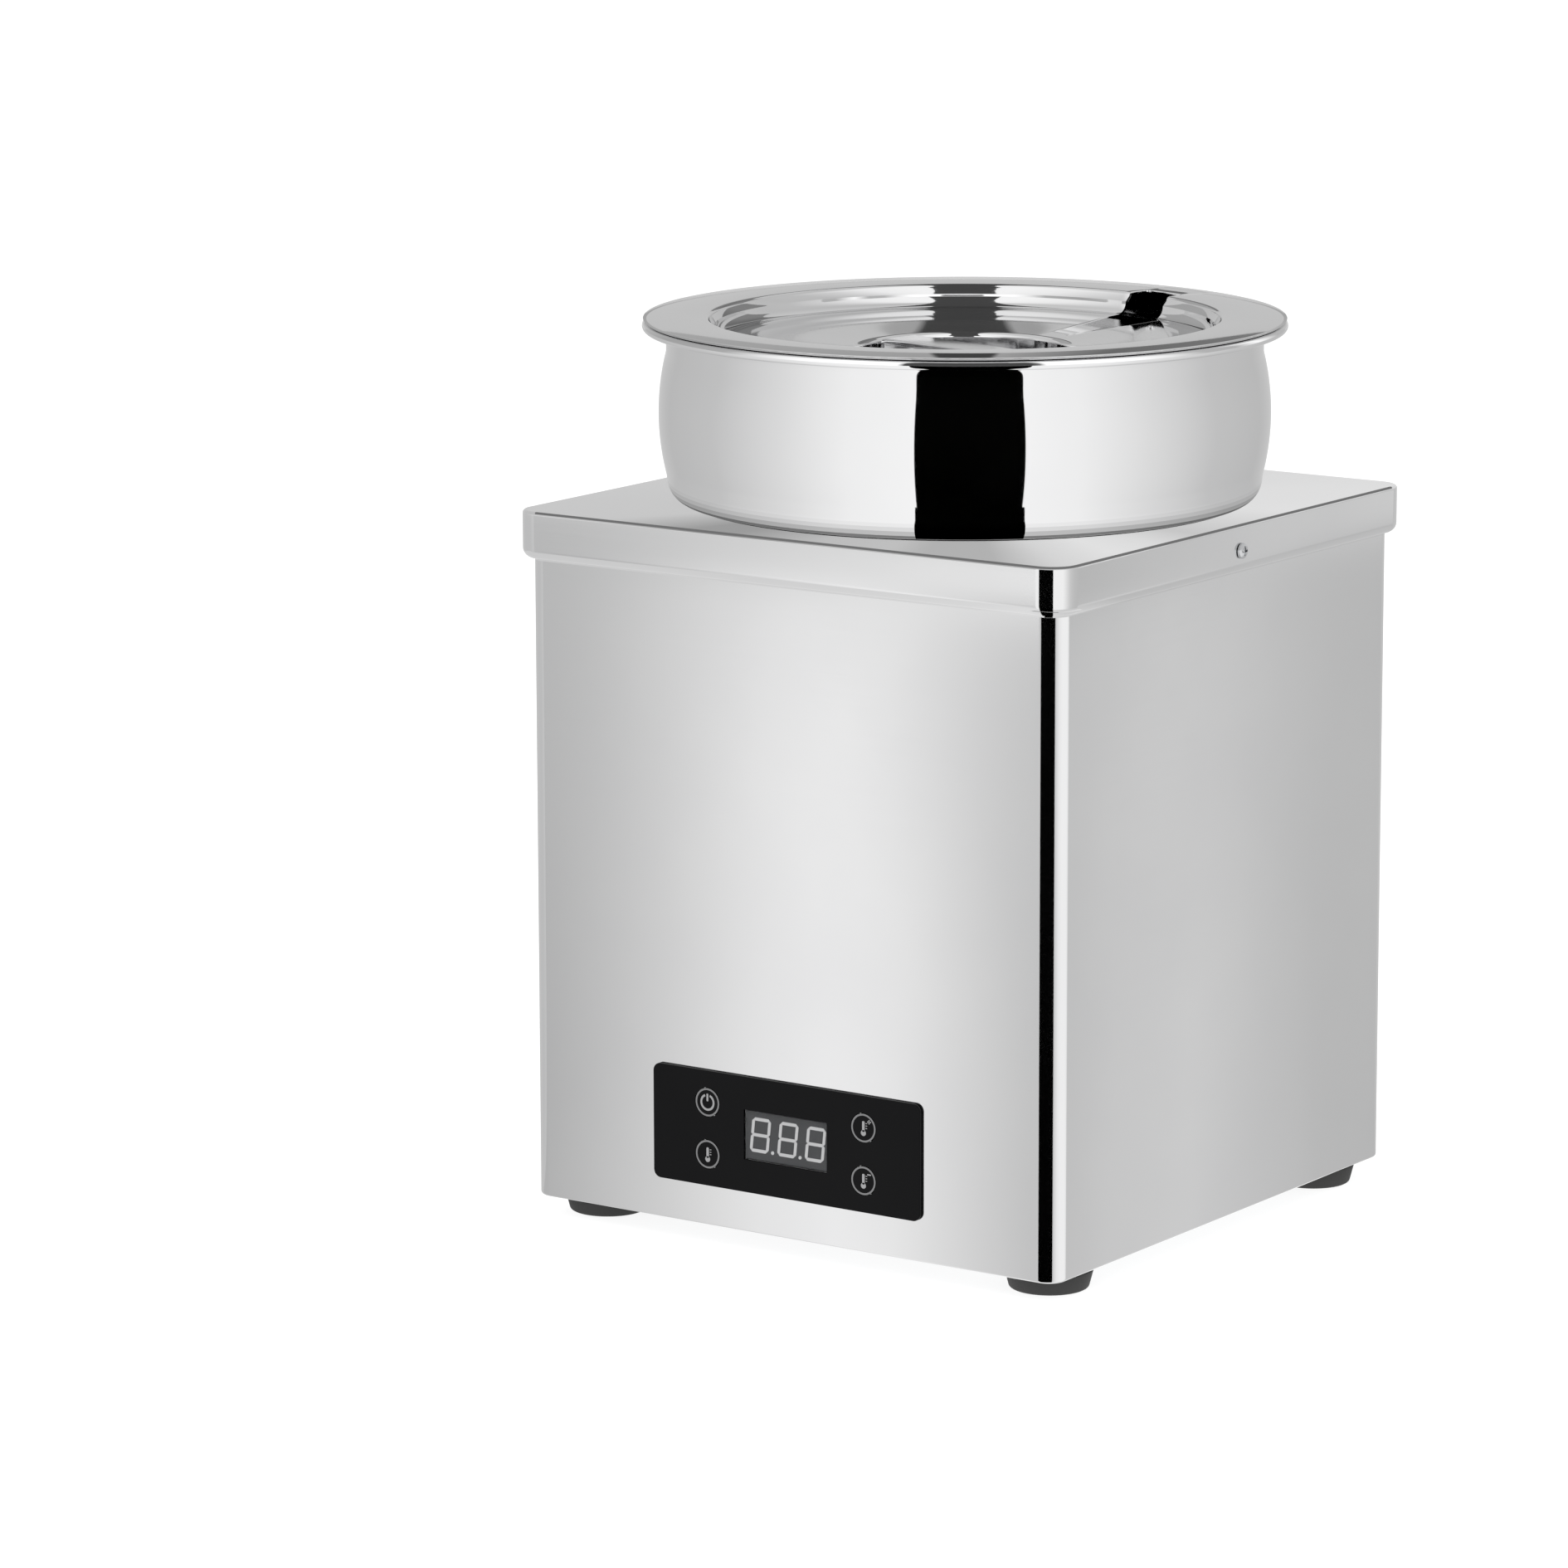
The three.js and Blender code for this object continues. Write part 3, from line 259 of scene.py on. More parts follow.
def linear(hexColour):
    return [lightOf(int(hexColour[place:place + 2], 16)) for place in (1, 3, 5)] + [1]


def addNode(tree, kind, settings=None, links=None):
    node = tree.nodes.new("ShaderNode" + kind)
    for name, value in (settings or {}).items():
        if hasattr(node, name):
            setattr(node, name, value)
        else:
            node.inputs[name].default_value = value
    for name, socket in (links or {}).items():
        tree.links.new(socket, node.inputs[name])
    return node


def newMaterial(name, colour, roughness, metallic=0, settings=None):
    material = bpy.data.materials.new(name)
    material.use_nodes = True
    tree = material.node_tree
    shader = tree.nodes["Principled BSDF"]
    shader.inputs["Base Color"].default_value = linear(colour)
    shader.inputs["Roughness"].default_value = roughness
    shader.inputs["Metallic"].default_value = metallic
    for key, value in (settings or {}).items():
        shader.inputs[key].default_value = value
    return material, tree, shader


def grain(tree, stretch, detail=2):
    # noise in object space; stretch is how many times a metre it repeats along X, Y and Z
    place = addNode(tree, "TexCoord")
    scaled = addNode(tree, "Mapping", {"Scale": stretch}, {"Vector": place.outputs["Object"]})
    return addNode(tree, "TexNoise", {"Scale": 1, "Detail": detail}, {"Vector": scaled.outputs["Vector"]})


def roughFrom(tree, shader, factor, low, high):
    node = addNode(tree, "MapRange", {"To Min": low, "To Max": high}, {"Value": factor})
    tree.links.new(node.outputs["Result"], shader.inputs["Roughness"])


def bump(tree, shader, height, strength, distance):
    node = addNode(tree, "Bump", {"Strength": strength, "Distance": distance * mm}, {"Height": height})
    tree.links.new(node.outputs["Normal"], shader.inputs["Normal"])


def colourFrom(tree, shader, factor, first, second):
    mix = addNode(tree, "Mix", {"data_type": "RGBA"})
    tree.links.new(factor, mix.inputs[0])
    colours = [item for item in mix.inputs if item.type == "RGBA"]
    colours[0].default_value = linear(first)
    colours[1].default_value = linear(second)
    tree.links.new(next(output for output in mix.outputs if output.type == "RGBA"), shader.inputs["Base Color"])


def steelSheet(name, colours, roughness, stretch):
    # rolled and belt-polished stainless steel: bright, with hair lines too fine to see from far away
    material, tree, shader = newMaterial(name, colours[0], roughness, 1)
    hair = grain(tree, stretch)
    cloud = grain(tree, (14, 14, 14), 3)
    colourFrom(tree, shader, cloud.outputs["Fac"], *colours)
    both = addNode(tree, "Math", {"operation": "MULTIPLY"})
    tree.links.new(hair.outputs["Fac"], both.inputs[0])
    tree.links.new(cloud.outputs["Fac"], both.inputs[1])
    roughFrom(tree, shader, both.outputs["Value"], roughness * 0.75, roughness * 1.6)
    bump(tree, shader, hair.outputs["Fac"], 0.02, 0.02)
    return material


def steelDrawn(name, colours, roughness):
    # deep-drawn steel polished on a lathe: mirror bright, with faint rings round its axis
    material, tree, shader = newMaterial(name, colours[0], roughness, 1)
    place = addNode(tree, "TexCoord")
    parts = addNode(tree, "SeparateXYZ", None, {"Vector": place.outputs["Object"]})
    flatPlace = addNode(tree, "CombineXYZ", None, {"X": parts.outputs["X"], "Y": parts.outputs["Y"]})
    radius = addNode(tree, "VectorMath", {"operation": "LENGTH"})
    tree.links.new(flatPlace.outputs["Vector"], radius.inputs[0])
    rings = addNode(tree, "CombineXYZ", None, {"X": radius.outputs["Value"], "Y": parts.outputs["Z"]})
    marks = addNode(tree, "TexNoise", {"Scale": 1400, "Detail": 2}, {"Vector": rings.outputs["Vector"]})
    cloud = grain(tree, (18, 18, 18), 3)
    colourFrom(tree, shader, cloud.outputs["Fac"], *colours)
    roughFrom(tree, shader, cloud.outputs["Fac"], roughness * 0.7, roughness * 1.5)
    bump(tree, shader, marks.outputs["Fac"], 0.015, 0.02)
    return material


def mouldedPlastic(name, colours, roughness, grit, settings=None):
    # moulded plastic or rubber: a fine even grit from the mould, a little uneven in gloss
    material, tree, shader = newMaterial(name, colours[0], roughness, 0, settings)
    skin = grain(tree, (1 / (grit * mm),) * 3)
    cloud = grain(tree, (40, 40, 40), 3)
    colourFrom(tree, shader, cloud.outputs["Fac"], *colours)
    roughFrom(tree, shader, cloud.outputs["Fac"], roughness * 0.85, min(roughness * 1.2, 1))
    bump(tree, shader, skin.outputs["Fac"], 0.12, 0.05)
    return material


def zincCoat(name):
    # hot-dip galvanised steel: dull, with spangles a few millimetres wide
    material, tree, shader = newMaterial(name, "#A9ADB0", 0.42, 1)
    place = addNode(tree, "TexCoord")
    spangle = addNode(tree, "TexVoronoi", {"Scale": 220}, {"Vector": place.outputs["Object"]})
    colourFrom(tree, shader, spangle.outputs["Distance"], "#B4B8BB", "#93979A")
    roughFrom(tree, shader, spangle.outputs["Distance"], 0.34, 0.52)
    return material


def castMetal(name, colours, roughness, grit):
    # cast or turned metal with a fine grainy skin
    material, tree, shader = newMaterial(name, colours[0], roughness, 1)
    skin = grain(tree, (1 / (grit * mm),) * 3, 3)
    colourFrom(tree, shader, skin.outputs["Fac"], *colours)
    roughFrom(tree, shader, skin.outputs["Fac"], roughness * 0.85, roughness * 1.15)
    bump(tree, shader, skin.outputs["Fac"], 0.2, 0.08)
    return material


satinSheet = steelSheet("stainlessSteelSheetSatin", ("#E6E6E6", "#DEDEDF"), 0.1, (9, 9, 1600))
satinCover = steelSheet("stainlessSteelCoverSatin", ("#E6E6E6", "#DEDEDF"), 0.1, (9, 1600, 1600))
drawnSteel = steelDrawn("stainlessSteelDrawnPolished", ("#E8E8E8", "#E1E1E2"), 0.045)
strapSteel = steelSheet("stainlessSteelStripPolished", ("#E4E4E5", "#DCDCDD"), 0.09, (1500, 9, 9))
screwSteel = castMetal("stainlessSteelScrewHeaded", ("#D2D3D4", "#C4C5C7"), 0.22, 0.3)
zincSteel = zincCoat("galvanisedSteelSheet")
castAluminium = castMetal("aluminiumCastPlate", ("#B9BBBD", "#A4A6A8"), 0.5, 0.4)
brass = castMetal("brassTurned", ("#C2A25E", "#AE9050"), 0.3, 0.3)
fasciaBlack = mouldedPlastic("polyesterOverlayBlack", ("#0F0F10", "#121213"), 0.25, 0.25,
                             {"Specular IOR Level": 0.06})
smokedLens = mouldedPlastic("acrylicSmoked", ("#0C0C0D", "#101011"), 0.12, 0.5,
                            {"Alpha": 0.15, "Specular IOR Level": 0.06})
moduleGrey = mouldedPlastic("displayHousingGreyAbs", ("#5A5B5D", "#545557"), 0.5, 0.3)
# white epoxy segments that are not lit, given a faint painted glow so that they read bright behind the tinted lens
segmentEpoxyPaintedGlow = mouldedPlastic("displaySegmentEpoxyPaintedGlow", ("#E2E2E3", "#DADADB"), 0.4, 0.3,
                              {"Emission Color": (1, 1, 1, 1), "Emission Strength": 0.12})
printGrey = mouldedPlastic("screenPrintPaleGrey", ("#9A9A9B", "#909091"), 0.5, 0.3)
printDim = mouldedPlastic("screenPrintDimGrey", ("#787879", "#6E6E6F"), 0.5, 0.3)
blackPlastic = mouldedPlastic("polyamideBlackMoulded", ("#1B1B1C", "#202021"), 0.45, 0.3)
rubber = mouldedPlastic("rubberBlackMoulded", ("#2E2E2E", "#353534"), 0.7, 0.35)
mineralWool = mouldedPlastic("mineralWoolFelt", ("#CBC19D", "#B7AC86"), 1.0, 0.8)
circuitBoard = mouldedPlastic("circuitBoardSolderMask", ("#1E5A3A", "#256845"), 0.4, 1.2)
transformerCore = mouldedPlastic("transformerCoreVarnished", ("#8B6034", "#A5713C"), 0.5, 0.5)
liveSleeve = mouldedPlastic("leadSleeveRedPvc", ("#8E2A22", "#7D241D"), 0.5, 0.4)
neutralSleeve = mouldedPlastic("leadSleeveBluePvc", ("#2A4A86", "#234076"), 0.5, 0.4)
earthSleeve = mouldedPlastic("leadSleeveGreenPvc", ("#5D8A34", "#517B2C"), 0.5, 0.4)
heaterSleeve = mouldedPlastic("leadSleeveGlassBraid", ("#D9D7D0", "#C6C4BC"), 0.8, 0.5)
greySleeve = mouldedPlastic("leadSleeveGreyPvc", ("#8C8E90", "#808284"), 0.5, 0.4)
print("materials made")


# Casing
cabinet = {"width": 241.4, "low": 8, "high": 276.7, "corner": 7.5, "hem": 1.2, "fold": 5, "sheet": 1,
           "window": 98.7, "windowTop": 247.8, "screwHole": 1.8, "coverScrewZ": 268, "cut": 4}
panel = {"z": 46.6, "width": 123, "height": 45.2, "corner": 3.2, "front": 122.2, "thickness": 1.2,
         "ledWidth": 37.6, "ledHeight": 19, "ledDepth": 8, "lens": 0.6, "gap": 0.3,
         "keyX": 36, "keyZ": 10.2, "keyRadius": 5.62, "keyHole": 5.78, "keyCap": 0.7, "stem": 2, "stemEnd": 115.3,
         "stemHole": 2.6, "cut": (-126, -118)}


def keyPlaces():
    x, low, high = panel["keyX"], panel["z"] - panel["keyZ"], panel["z"] + panel["keyZ"]
    return {"power": (-x, high), "mode": (-x, low), "up": (x, high), "down": (x, low)}


def buildCabinet():
    half, cut = cabinet["width"] / 2, cabinet["cut"]
    shell = roundedSlab(cabinet["width"], cabinet["width"], cabinet["corner"], cabinet["low"], cabinet["high"], 12)
    level = [face for face in shell.faces if abs(face.normal.z) > 0.9]
    top = max(level, key=heightOf)
    bottom = min(level, key=heightOf)
    bmesh.ops.inset_region(shell, faces=[top], thickness=cabinet["fold"])
    roundOff(shell, bottom.edges[:], cabinet["hem"], 4)
    bottom = min(shell.faces, key=heightOf)
    bmesh.ops.delete(shell, geom=[top, bottom], context="FACES_ONLY")
    frontCut, backCut = (-half - cut, -half + cut), (half - cut, half + cut)
    ledX, ledZ = panel["ledWidth"] / 2 + panel["gap"], panel["ledHeight"] / 2 + panel["gap"]
    cutters = [
        boxShape((-cabinet["window"], cabinet["window"]), backCut, (0, cabinet["windowTop"])),
        boxShape((-ledX, ledX), frontCut, (panel["z"] - ledZ, panel["z"] + ledZ)),
        barShape("x", cabinet["screwHole"], -half - cut, half + cut, 0, cabinet["coverScrewZ"]),
    ]
    for x, z in keyPlaces().values():
        cutters.append(barShape("y", panel["stemHole"], *frontCut, x, z))
    for x in (-rear["screwX"], rear["screwX"]):
        for z in rear["screwZ"]:
            cutters.append(barShape("y", cabinet["screwHole"], *backCut, x, z))
    addPiece("cabinet_wrap_steel", shell, satinSheet, "cabinet", ["cabinet_wrap"],
             sheet=cabinet["sheet"], cutter=together(cutters), edge=0.3, flat=True)


cover = {"width": 250, "low": 259.3, "high": 278, "corner": 11, "roll": 4, "bend": 1.3, "lip": 0.7,
         "sheet": 1, "opening": 107.5, "cut": 6}


def buildCover():
    shell = roundedSlab(cover["width"], cover["width"], cover["corner"], cover["low"], cover["high"], 14)
    lower = [edge for edge in shell.edges if all(vert.co.z < cover["low"] + same for vert in edge.verts)]
    roundOff(shell, lower, cover["roll"], 8)
    upper = [edge for edge in shell.edges if all(vert.co.z > cover["high"] - same for vert in edge.verts)]
    roundOff(shell, upper, cover["bend"], 5)
    bottom = min(shell.faces, key=heightOf)
    bmesh.ops.inset_region(shell, faces=[bottom], thickness=cover["lip"])
    bmesh.ops.delete(shell, geom=[bottom], context="FACES_ONLY")
    end = cover["width"] / 2 + cabinet["cut"]
    cutters = [barShape("z", cover["opening"], cover["high"] - cover["cut"], cover["high"] + cover["cut"], sides=192),
               barShape("x", cabinet["screwHole"], -end, end, 0, cabinet["coverScrewZ"])]
    addPiece("top_cover_steel", shell, satinCover, "cabinet", ["top_cover"],
             sheet=cover["sheet"], cutter=together(cutters), edge=0.25, flat=True)


rear = {"corner": 3, "ventWidth": 46, "ventHeight": 4, "ventX": 32, "ventTop": 211.8, "ventPitch": 10, "ventRows": 6,
        "screwX": 103.7, "screwY": 122.3, "screwZ": (29.5, 252.8), "inletX": 66.7, "inletZ": 46,
        "inletHole": (28, 20.2, 2), "inletScrewX": 20, "cut": (116, 126)}


def buildRear():
    low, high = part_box("rear_panel")
    width, height = (high.x - low.x) / mm, (high.z - low.z) / mm
    middle = (high.z + low.z) / 2 / mm
    plate = standUp(roundedSlab(width, height, rear["corner"], -high.y / mm, -low.y / mm), 0, middle)
    near, far = rear["cut"]
    cutters = []
    for row in range(rear["ventRows"]):
        for x in (-rear["ventX"], rear["ventX"]):
            slot = roundedSlab(rear["ventWidth"], rear["ventHeight"], rear["ventHeight"] / 2 - same, -far, -near, 6)
            cutters.append(standUp(slot, x, rear["ventTop"] - row * rear["ventPitch"]))
    cutters.append(standUp(roundedSlab(*rear["inletHole"], -far, -near), rear["inletX"], rear["inletZ"]))
    for side in (-1, 1):
        places = [(rear["inletX"] + side * rear["inletScrewX"], rear["inletZ"])]
        places += [(side * rear["screwX"], z) for z in rear["screwZ"]]
        cutters += [barShape("y", cabinet["screwHole"], near, far, *place) for place in places]
    addPiece("rear_panel_steel", plate, satinSheet, "cabinet", ["rear_panel"],
             cutter=together(cutters), edge=0.2, flat=True)


buildCabinet()
buildCover()
buildRear()
print("casing built")


# Pot, lid and well: each line runs along the inner or upper face of its sheet
pot = {"sheet": 1, "sides": 176, "start": (0, 166), "line": [
    (93.5, 166), (93.5, 177, 90, 8), (104.5, 277.8), (106, 277.8, -90, 5), (108.5, 279.3),
    (108.5, 287.5, 90, 10, 5.5 / 8.2, 1), (21.49, 311.25, 28.8, 18),      # the bowl's foot, 5.5 by 8.2, and its belly
    (114, 340), (121, 340, -90, 12), (122.4, 347), (122.4, 345.2, -210, 16)]}
lid = {"sheet": 1, "sides": 176, "turn": -14, "start": (0, 319.5), "line": [
    (35, 319.5), (35, 325.5, 90, 8), (41, 334.5), (43, 334.5, -90, 7), (91.5, 339.7), (91.5, 344.7, 90, 9),
    (98.4, 346.7), (100, 346.7, -90, 7), (123.4, 348.29), (123.4, 347.89, -80, 3)],
    "notchWidth": 21, "notchInner": 84, "notchOuter": 108, "notchCorner": 3, "notchLow": 315, "notchHigh": 355}
strap = {"reach": 39.6, "top": 336.5, "foot": 328, "bend": 2.5, "width": 16, "sheet": 2}
well = {"sheet": 0.8, "sides": 144, "start": (0, 159), "line": [
    (99.5, 159), (99.5, 168, 90, 8), (108.5, 275.2), (110, 275.2, -90, 5), (114.5, 276.7)],
    "studRadius": 3, "studLow": 135.2, "studHigh": 158.6}


def buildPot():
    shell = faceUp(spinRound(drawLine(pot["start"], pot["line"]), pot["sides"]))
    addPiece("pot_steel", shell, drawnSteel, "pot", ["pot"], sheet=pot["sheet"])


def buildLid():
    shell = faceUp(spinRound(drawLine(lid["start"], lid["line"]), lid["sides"]))
    length = lid["notchOuter"] - lid["notchInner"]
    notch = roundedSlab(lid["notchWidth"], length, lid["notchCorner"], lid["notchLow"], lid["notchHigh"])
    move(notch, 0, lid["notchInner"] + length / 2, 0)
    addPiece("lid_steel", shell, drawnSteel, "lid", ["lid"], sheet=lid["sheet"],
             cutter=rotate(notch, lid["turn"]), edge=0.18)
    end, bend, top = strap["reach"], strap["bend"], strap["top"]
    strip = drawLine((-end, strap["foot"]), [
        (-end, top - bend), (-end + bend, top - bend, -90, 6), (end - bend, top),
        (end - bend, top - bend, -90, 6), (end, strap["foot"])])
    drawn = bmesh.ops.extrude_edge_only(strip, edges=strip.edges[:])
    move(strip, 0, strap["width"], 0, vertsOf(drawn["geom"]))
    normalsOut(move(strip, 0, -strap["width"] / 2, 0))
    if max(strip.faces, key=heightOf).normal.z < 0:
        bmesh.ops.reverse_faces(strip, faces=strip.faces[:])
    addPiece("lid_handle_steel", rotate(strip, lid["turn"]), strapSteel, "lid", ["lid_handle"],
             sheet=strap["sheet"], edge=0.35, flat=True)


def buildWell():
    shell = faceUp(spinRound(drawLine(well["start"], well["line"]), well["sides"]))
    stud = barShape("z", well["studRadius"], well["studLow"], well["studHigh"], sides=24)
    addPiece("well_steel", shell, drawnSteel, "cabinet", ["well"], sheet=well["sheet"])
    addPiece("well_stud_steel", stud, zincSteel, "cabinet", [], edge=0.3)


buildPot()
buildLid()
buildWell()
print("pot, lid and well built")


# Control panel: printed plate, tinted window, three digits and four keys
digits = {"height": 13.6, "width": 8.7, "bar": 1.25, "gap": 0.1, "pitch": 12.7, "slant": 6, "x": 0.8, "rise": 0.4,
          "point": 0.7, "pointX": 6.25, "relief": 0.1}
icons = {"ringOuter": 5.5, "ringInner": 4.8, "relief": 0.02,
         "arc": (3.3, 2.45, 112, 316), "bulb": (1.15, 0, -1.9),      # radii and degrees; radius and place
         "stroke": (0.85, 3, 0, 1.9, 0.3), "tube": (1.15, 4.2, 0, 0.6, 0.5),      # width, height, place and corner
         "tick": (0.75, 0.3), "tickX": 1.35, "tickTop": 1.9, "tickPitch": 0.95, "tickCorner": 0.1,
         "signLength": 1.7, "signWidth": 0.45, "signPlace": (2.6, 2.6), "signCorner": 0.15}


def thermometer(sign):
    # a bulb, a tube and three marks, with a plus or minus sign beside them
    parts = [flatDisc(*icons["bulb"]), flatBar(*icons["tube"])]
    for step in range(3):
        rise = icons["tickTop"] - icons["tickPitch"] * step
        parts.append(flatBar(*icons["tick"], icons["tickX"], rise, icons["tickCorner"]))
    if sign:
        parts.append(flatBar(icons["signLength"], icons["signWidth"], *icons["signPlace"], icons["signCorner"]))
    if sign > 0:
        parts.append(flatBar(icons["signWidth"], icons["signLength"], *icons["signPlace"], icons["signCorner"]))
    return parts


def iconParts(name):
    if name == "power":
        return [flatRing(*icons["arc"]), flatBar(*icons["stroke"])]
    return thermometer({"mode": 0, "up": 1, "down": -1}[name])


def segmentShape(length, across, x, y, upright):
    # a bar with pointed ends
    half, tip = length / 2, across / 2
    bm = flatShape([(-half, 0), (-half + tip, -tip), (half - tip, -tip), (half, 0), (half - tip, tip),
                    (-half + tip, tip)])
    if upright:
        rotate(bm, 90)
    return move(bm, x, y, 0)


def digitParts(middle):
    bar = digits["bar"]
    wide, tall = digits["width"] / 2 - bar / 2, digits["height"] / 2 - bar / 2
    parts = []
    for y in (-tall, 0, tall):
        parts.append(segmentShape(2 * wide - digits["gap"], bar, middle, y, False))
    for x in (-wide, wide):
        for y in (-tall / 2, tall / 2):
            parts.append(segmentShape(tall - digits["gap"], bar, middle + x, y, True))
    return parts


def buildPanel():
    front, gap = panel["front"], panel["gap"]
    back = front - panel["thickness"]
    ledFace = front - panel["lens"] - gap
    half = panel["ledWidth"] / 2
    low, high = panel["z"] - panel["ledHeight"] / 2, panel["z"] + panel["ledHeight"] / 2
    plate = roundedSlab(panel["width"], panel["height"], panel["corner"], back, front, 10)
    cutters = [boxShape((-half - gap, half + gap), panel["cut"], (low - gap, high + gap))]
    for x, z in keyPlaces().values():
        cutters.append(barShape("y", panel["keyHole"], *panel["cut"], x, z, 72))
    addPiece("control_fascia_plate", standUp(plate, 0, panel["z"]), fasciaBlack, "cabinet", ["control_fascia"],
             cutter=together(cutters), edge=0.25, flat=True)

    lens = boxShape((-half, half), (-front, panel["lens"] - front), (low, high))
    addPiece("display_lens_tinted", lens, smokedLens, "cabinet", ["display_lens"], edge=0.1,
             flat=True)
    housing = boxShape((-half, half), (-ledFace, panel["ledDepth"] - ledFace), (low, high))
    addPiece("led_display_housing", housing, moduleGrey, "cabinet", ["led_display"], edge=0.3,
             flat=True)

    parts = []
    for index in range(3):
        middle = (index - 1) * digits["pitch"]
        parts.extend(digitParts(middle))
        if index < 2:
            parts.append(flatDisc(digits["point"], middle + digits["pointX"], digits["point"] - digits["height"] / 2))
    face = thicken(together(parts), digits["relief"])
    slant = Matrix.Identity(4)
    slant[0][1] = tan(radians(digits["slant"]))
    bmesh.ops.transform(face, matrix=slant, verts=face.verts[:])
    standUp(move(face, 0, 0, ledFace), digits["x"], panel["z"] + digits["rise"])
    # the digits carry the painted glow of their epoxy material
    addPiece("led_display_segments", face, segmentEpoxyPaintedGlow, "cabinet", [], sharp=30)

    for name, (x, z) in keyPlaces().items():
        cap = barShape("y", panel["keyRadius"], -front, panel["keyCap"] - front, x, z, 72)
        stem = barShape("y", panel["stem"], panel["keyCap"] - front, -panel["stemEnd"], x, z, 24)
        addPiece(f"key_{name}_cap", together([cap, stem]), fasciaBlack, f"{name}_key", [f"key_{name}"],
                 edge=0.12, flat=True)
        prints = {"ring": ([flatRing(icons["ringOuter"], icons["ringInner"])], printDim),
                  "icon": (iconParts(name), printGrey)}
        for kind, (shapes, ink) in prints.items():
            mark = move(thicken(together(shapes), icons["relief"]), 0, 0, front)
            addPiece(f"key_{name}_{kind}", standUp(mark, x, z), ink, f"{name}_key", [], sharp=30)


buildPanel()
print("control panel built")


# Feet, screws and power inlet
seat = 0.3      # the gap between a screw's head and what it holds
foot = {"x": 102.4, "y": 96.2, "top": 17, "bottom": 15, "height": 7.7, "recess": 5.5, "depth": 4.4, "hole": 2.3}
screws = {"panel": {"head": 3, "rise": 1.7, "shank": 1.5, "length": 7.8},
          "foot": {"head": 4.2, "rise": 2.6, "shank": 2, "length": 11},
          "inlet": {"head": 2.7, "rise": 1.4, "shank": 1.5, "length": 8}}
head = {"rim": 0.3, "crossReach": 0.62, "crossHalf": 0.14, "crossFloor": 0.45, "crossTop": 2}    # shares but the last
inlet = {"x": rear["inletX"], "z": rear["inletZ"], "flange": (50, 22.5, 4), "body": (27.4, 19.6, 2),
         "mouth": (24.2, 16.4, 2.4), "inner": 122.3, "face": 125, "back": 107.5, "floor": 109.5, "cut": 130,
         "screwX": rear["inletScrewX"], "screwY": 123.3, "headHole": 3, "shankHole": (118, 124)}
pin = {"places": {"live": (-7, -2), "neutral": (7, -2), "earth": (0, 2)}, "halfX": 1, "halfZ": 2, "gap": 0.3,
       "y": (99.5, 122), "slotY": (100, 111)}


def screwShape(kind):
    size = screws[kind]
    radius, shank, length = size["head"], size["shank"], size["length"]
    rim = head["rim"] * size["rise"]
    line = drawLine((0, -length), [(shank, -length), (shank, 0), (radius, 0), (radius, rim),
                                   (0, rim, 90, 8, 1, (size["rise"] - rim) / radius)])
    return spinRound(line, 32)


def crossShape(kind):
    size = screws[kind]
    reach, half = size["head"] * head["crossReach"], size["head"] * head["crossHalf"]
    bm = boxShape((-half, half), (-half, half), (size["rise"] * head["crossFloor"], size["rise"] + head["crossTop"]))
    for side in [face for face in bm.faces if abs(face.normal.z) < 0.5]:
        outwards = side.normal.copy()
        arm = bmesh.ops.extrude_face_region(bm, geom=[side])
        move(bm, *outwards * (reach - half), vertsOf(arm["geom"]))
    return normalsOut(bm)


def placeScrew(name, kind, place, degrees, axis, material):
    shape, cutter = screwShape(kind), crossShape(kind)
    for part in (shape, cutter):
        move(rotate(part, degrees, axis), *place)
    addPiece(name + "_headed", shape, material, "cabinet", [name], cutter=cutter, edge=0.08)


def buildFeet():
    corners = {"front_left": (-1, -1), "front_right": (1, -1), "rear_left": (-1, 1), "rear_right": (1, 1)}
    for name, (sideX, sideY) in corners.items():
        ring = closeLine(drawLine((foot["recess"], 0), [
            (foot["bottom"], 0), (foot["top"], foot["height"]), (foot["hole"], foot["height"]),
            (foot["hole"], foot["depth"]), (foot["recess"], foot["depth"])]))
        x, y = sideX * foot["x"], sideY * foot["y"]
        move(spinRound(ring, 64), x, y, 0)
        addPiece(f"foot_{name}_rubber", ring, rubber, "cabinet", [f"foot_{name}"], edge=1.0, edgeSteps=4,
                 flat=True)
        placeScrew(f"foot_screw_{name}", "foot", (x, y, foot["depth"] - seat), 180, "X", zincSteel)


def buildScrews():
    for name, side in (("left", -1), ("right", 1)):
        placeScrew(f"cover_screw_{name}", "panel", (side * (cover["width"] / 2 + seat), 0, cabinet["coverScrewZ"]),
                   side * 90, "Y", screwSteel)
    places = [(side * rear["screwX"], z) for z in rear["screwZ"] for side in (-1, 1)]
    for number, (x, z) in enumerate(places, 1):
        placeScrew(f"rear_screw_{number}", "panel", (x, rear["screwY"], z), -90, "X", screwSteel)
    for name, side in (("left", -1), ("right", 1)):
        place = (inlet["x"] + side * inlet["screwX"], inlet["screwY"] + seat, inlet["z"])
        placeScrew(f"inlet_screw_{name}", "inlet", place, -90, "X", zincSteel)


def pinShape(x, z, reach, gap):
    halfX, halfZ = pin["halfX"] + gap, pin["halfZ"] + gap
    return boxShape((x - halfX, x + halfX), reach, (z - halfZ, z + halfZ))


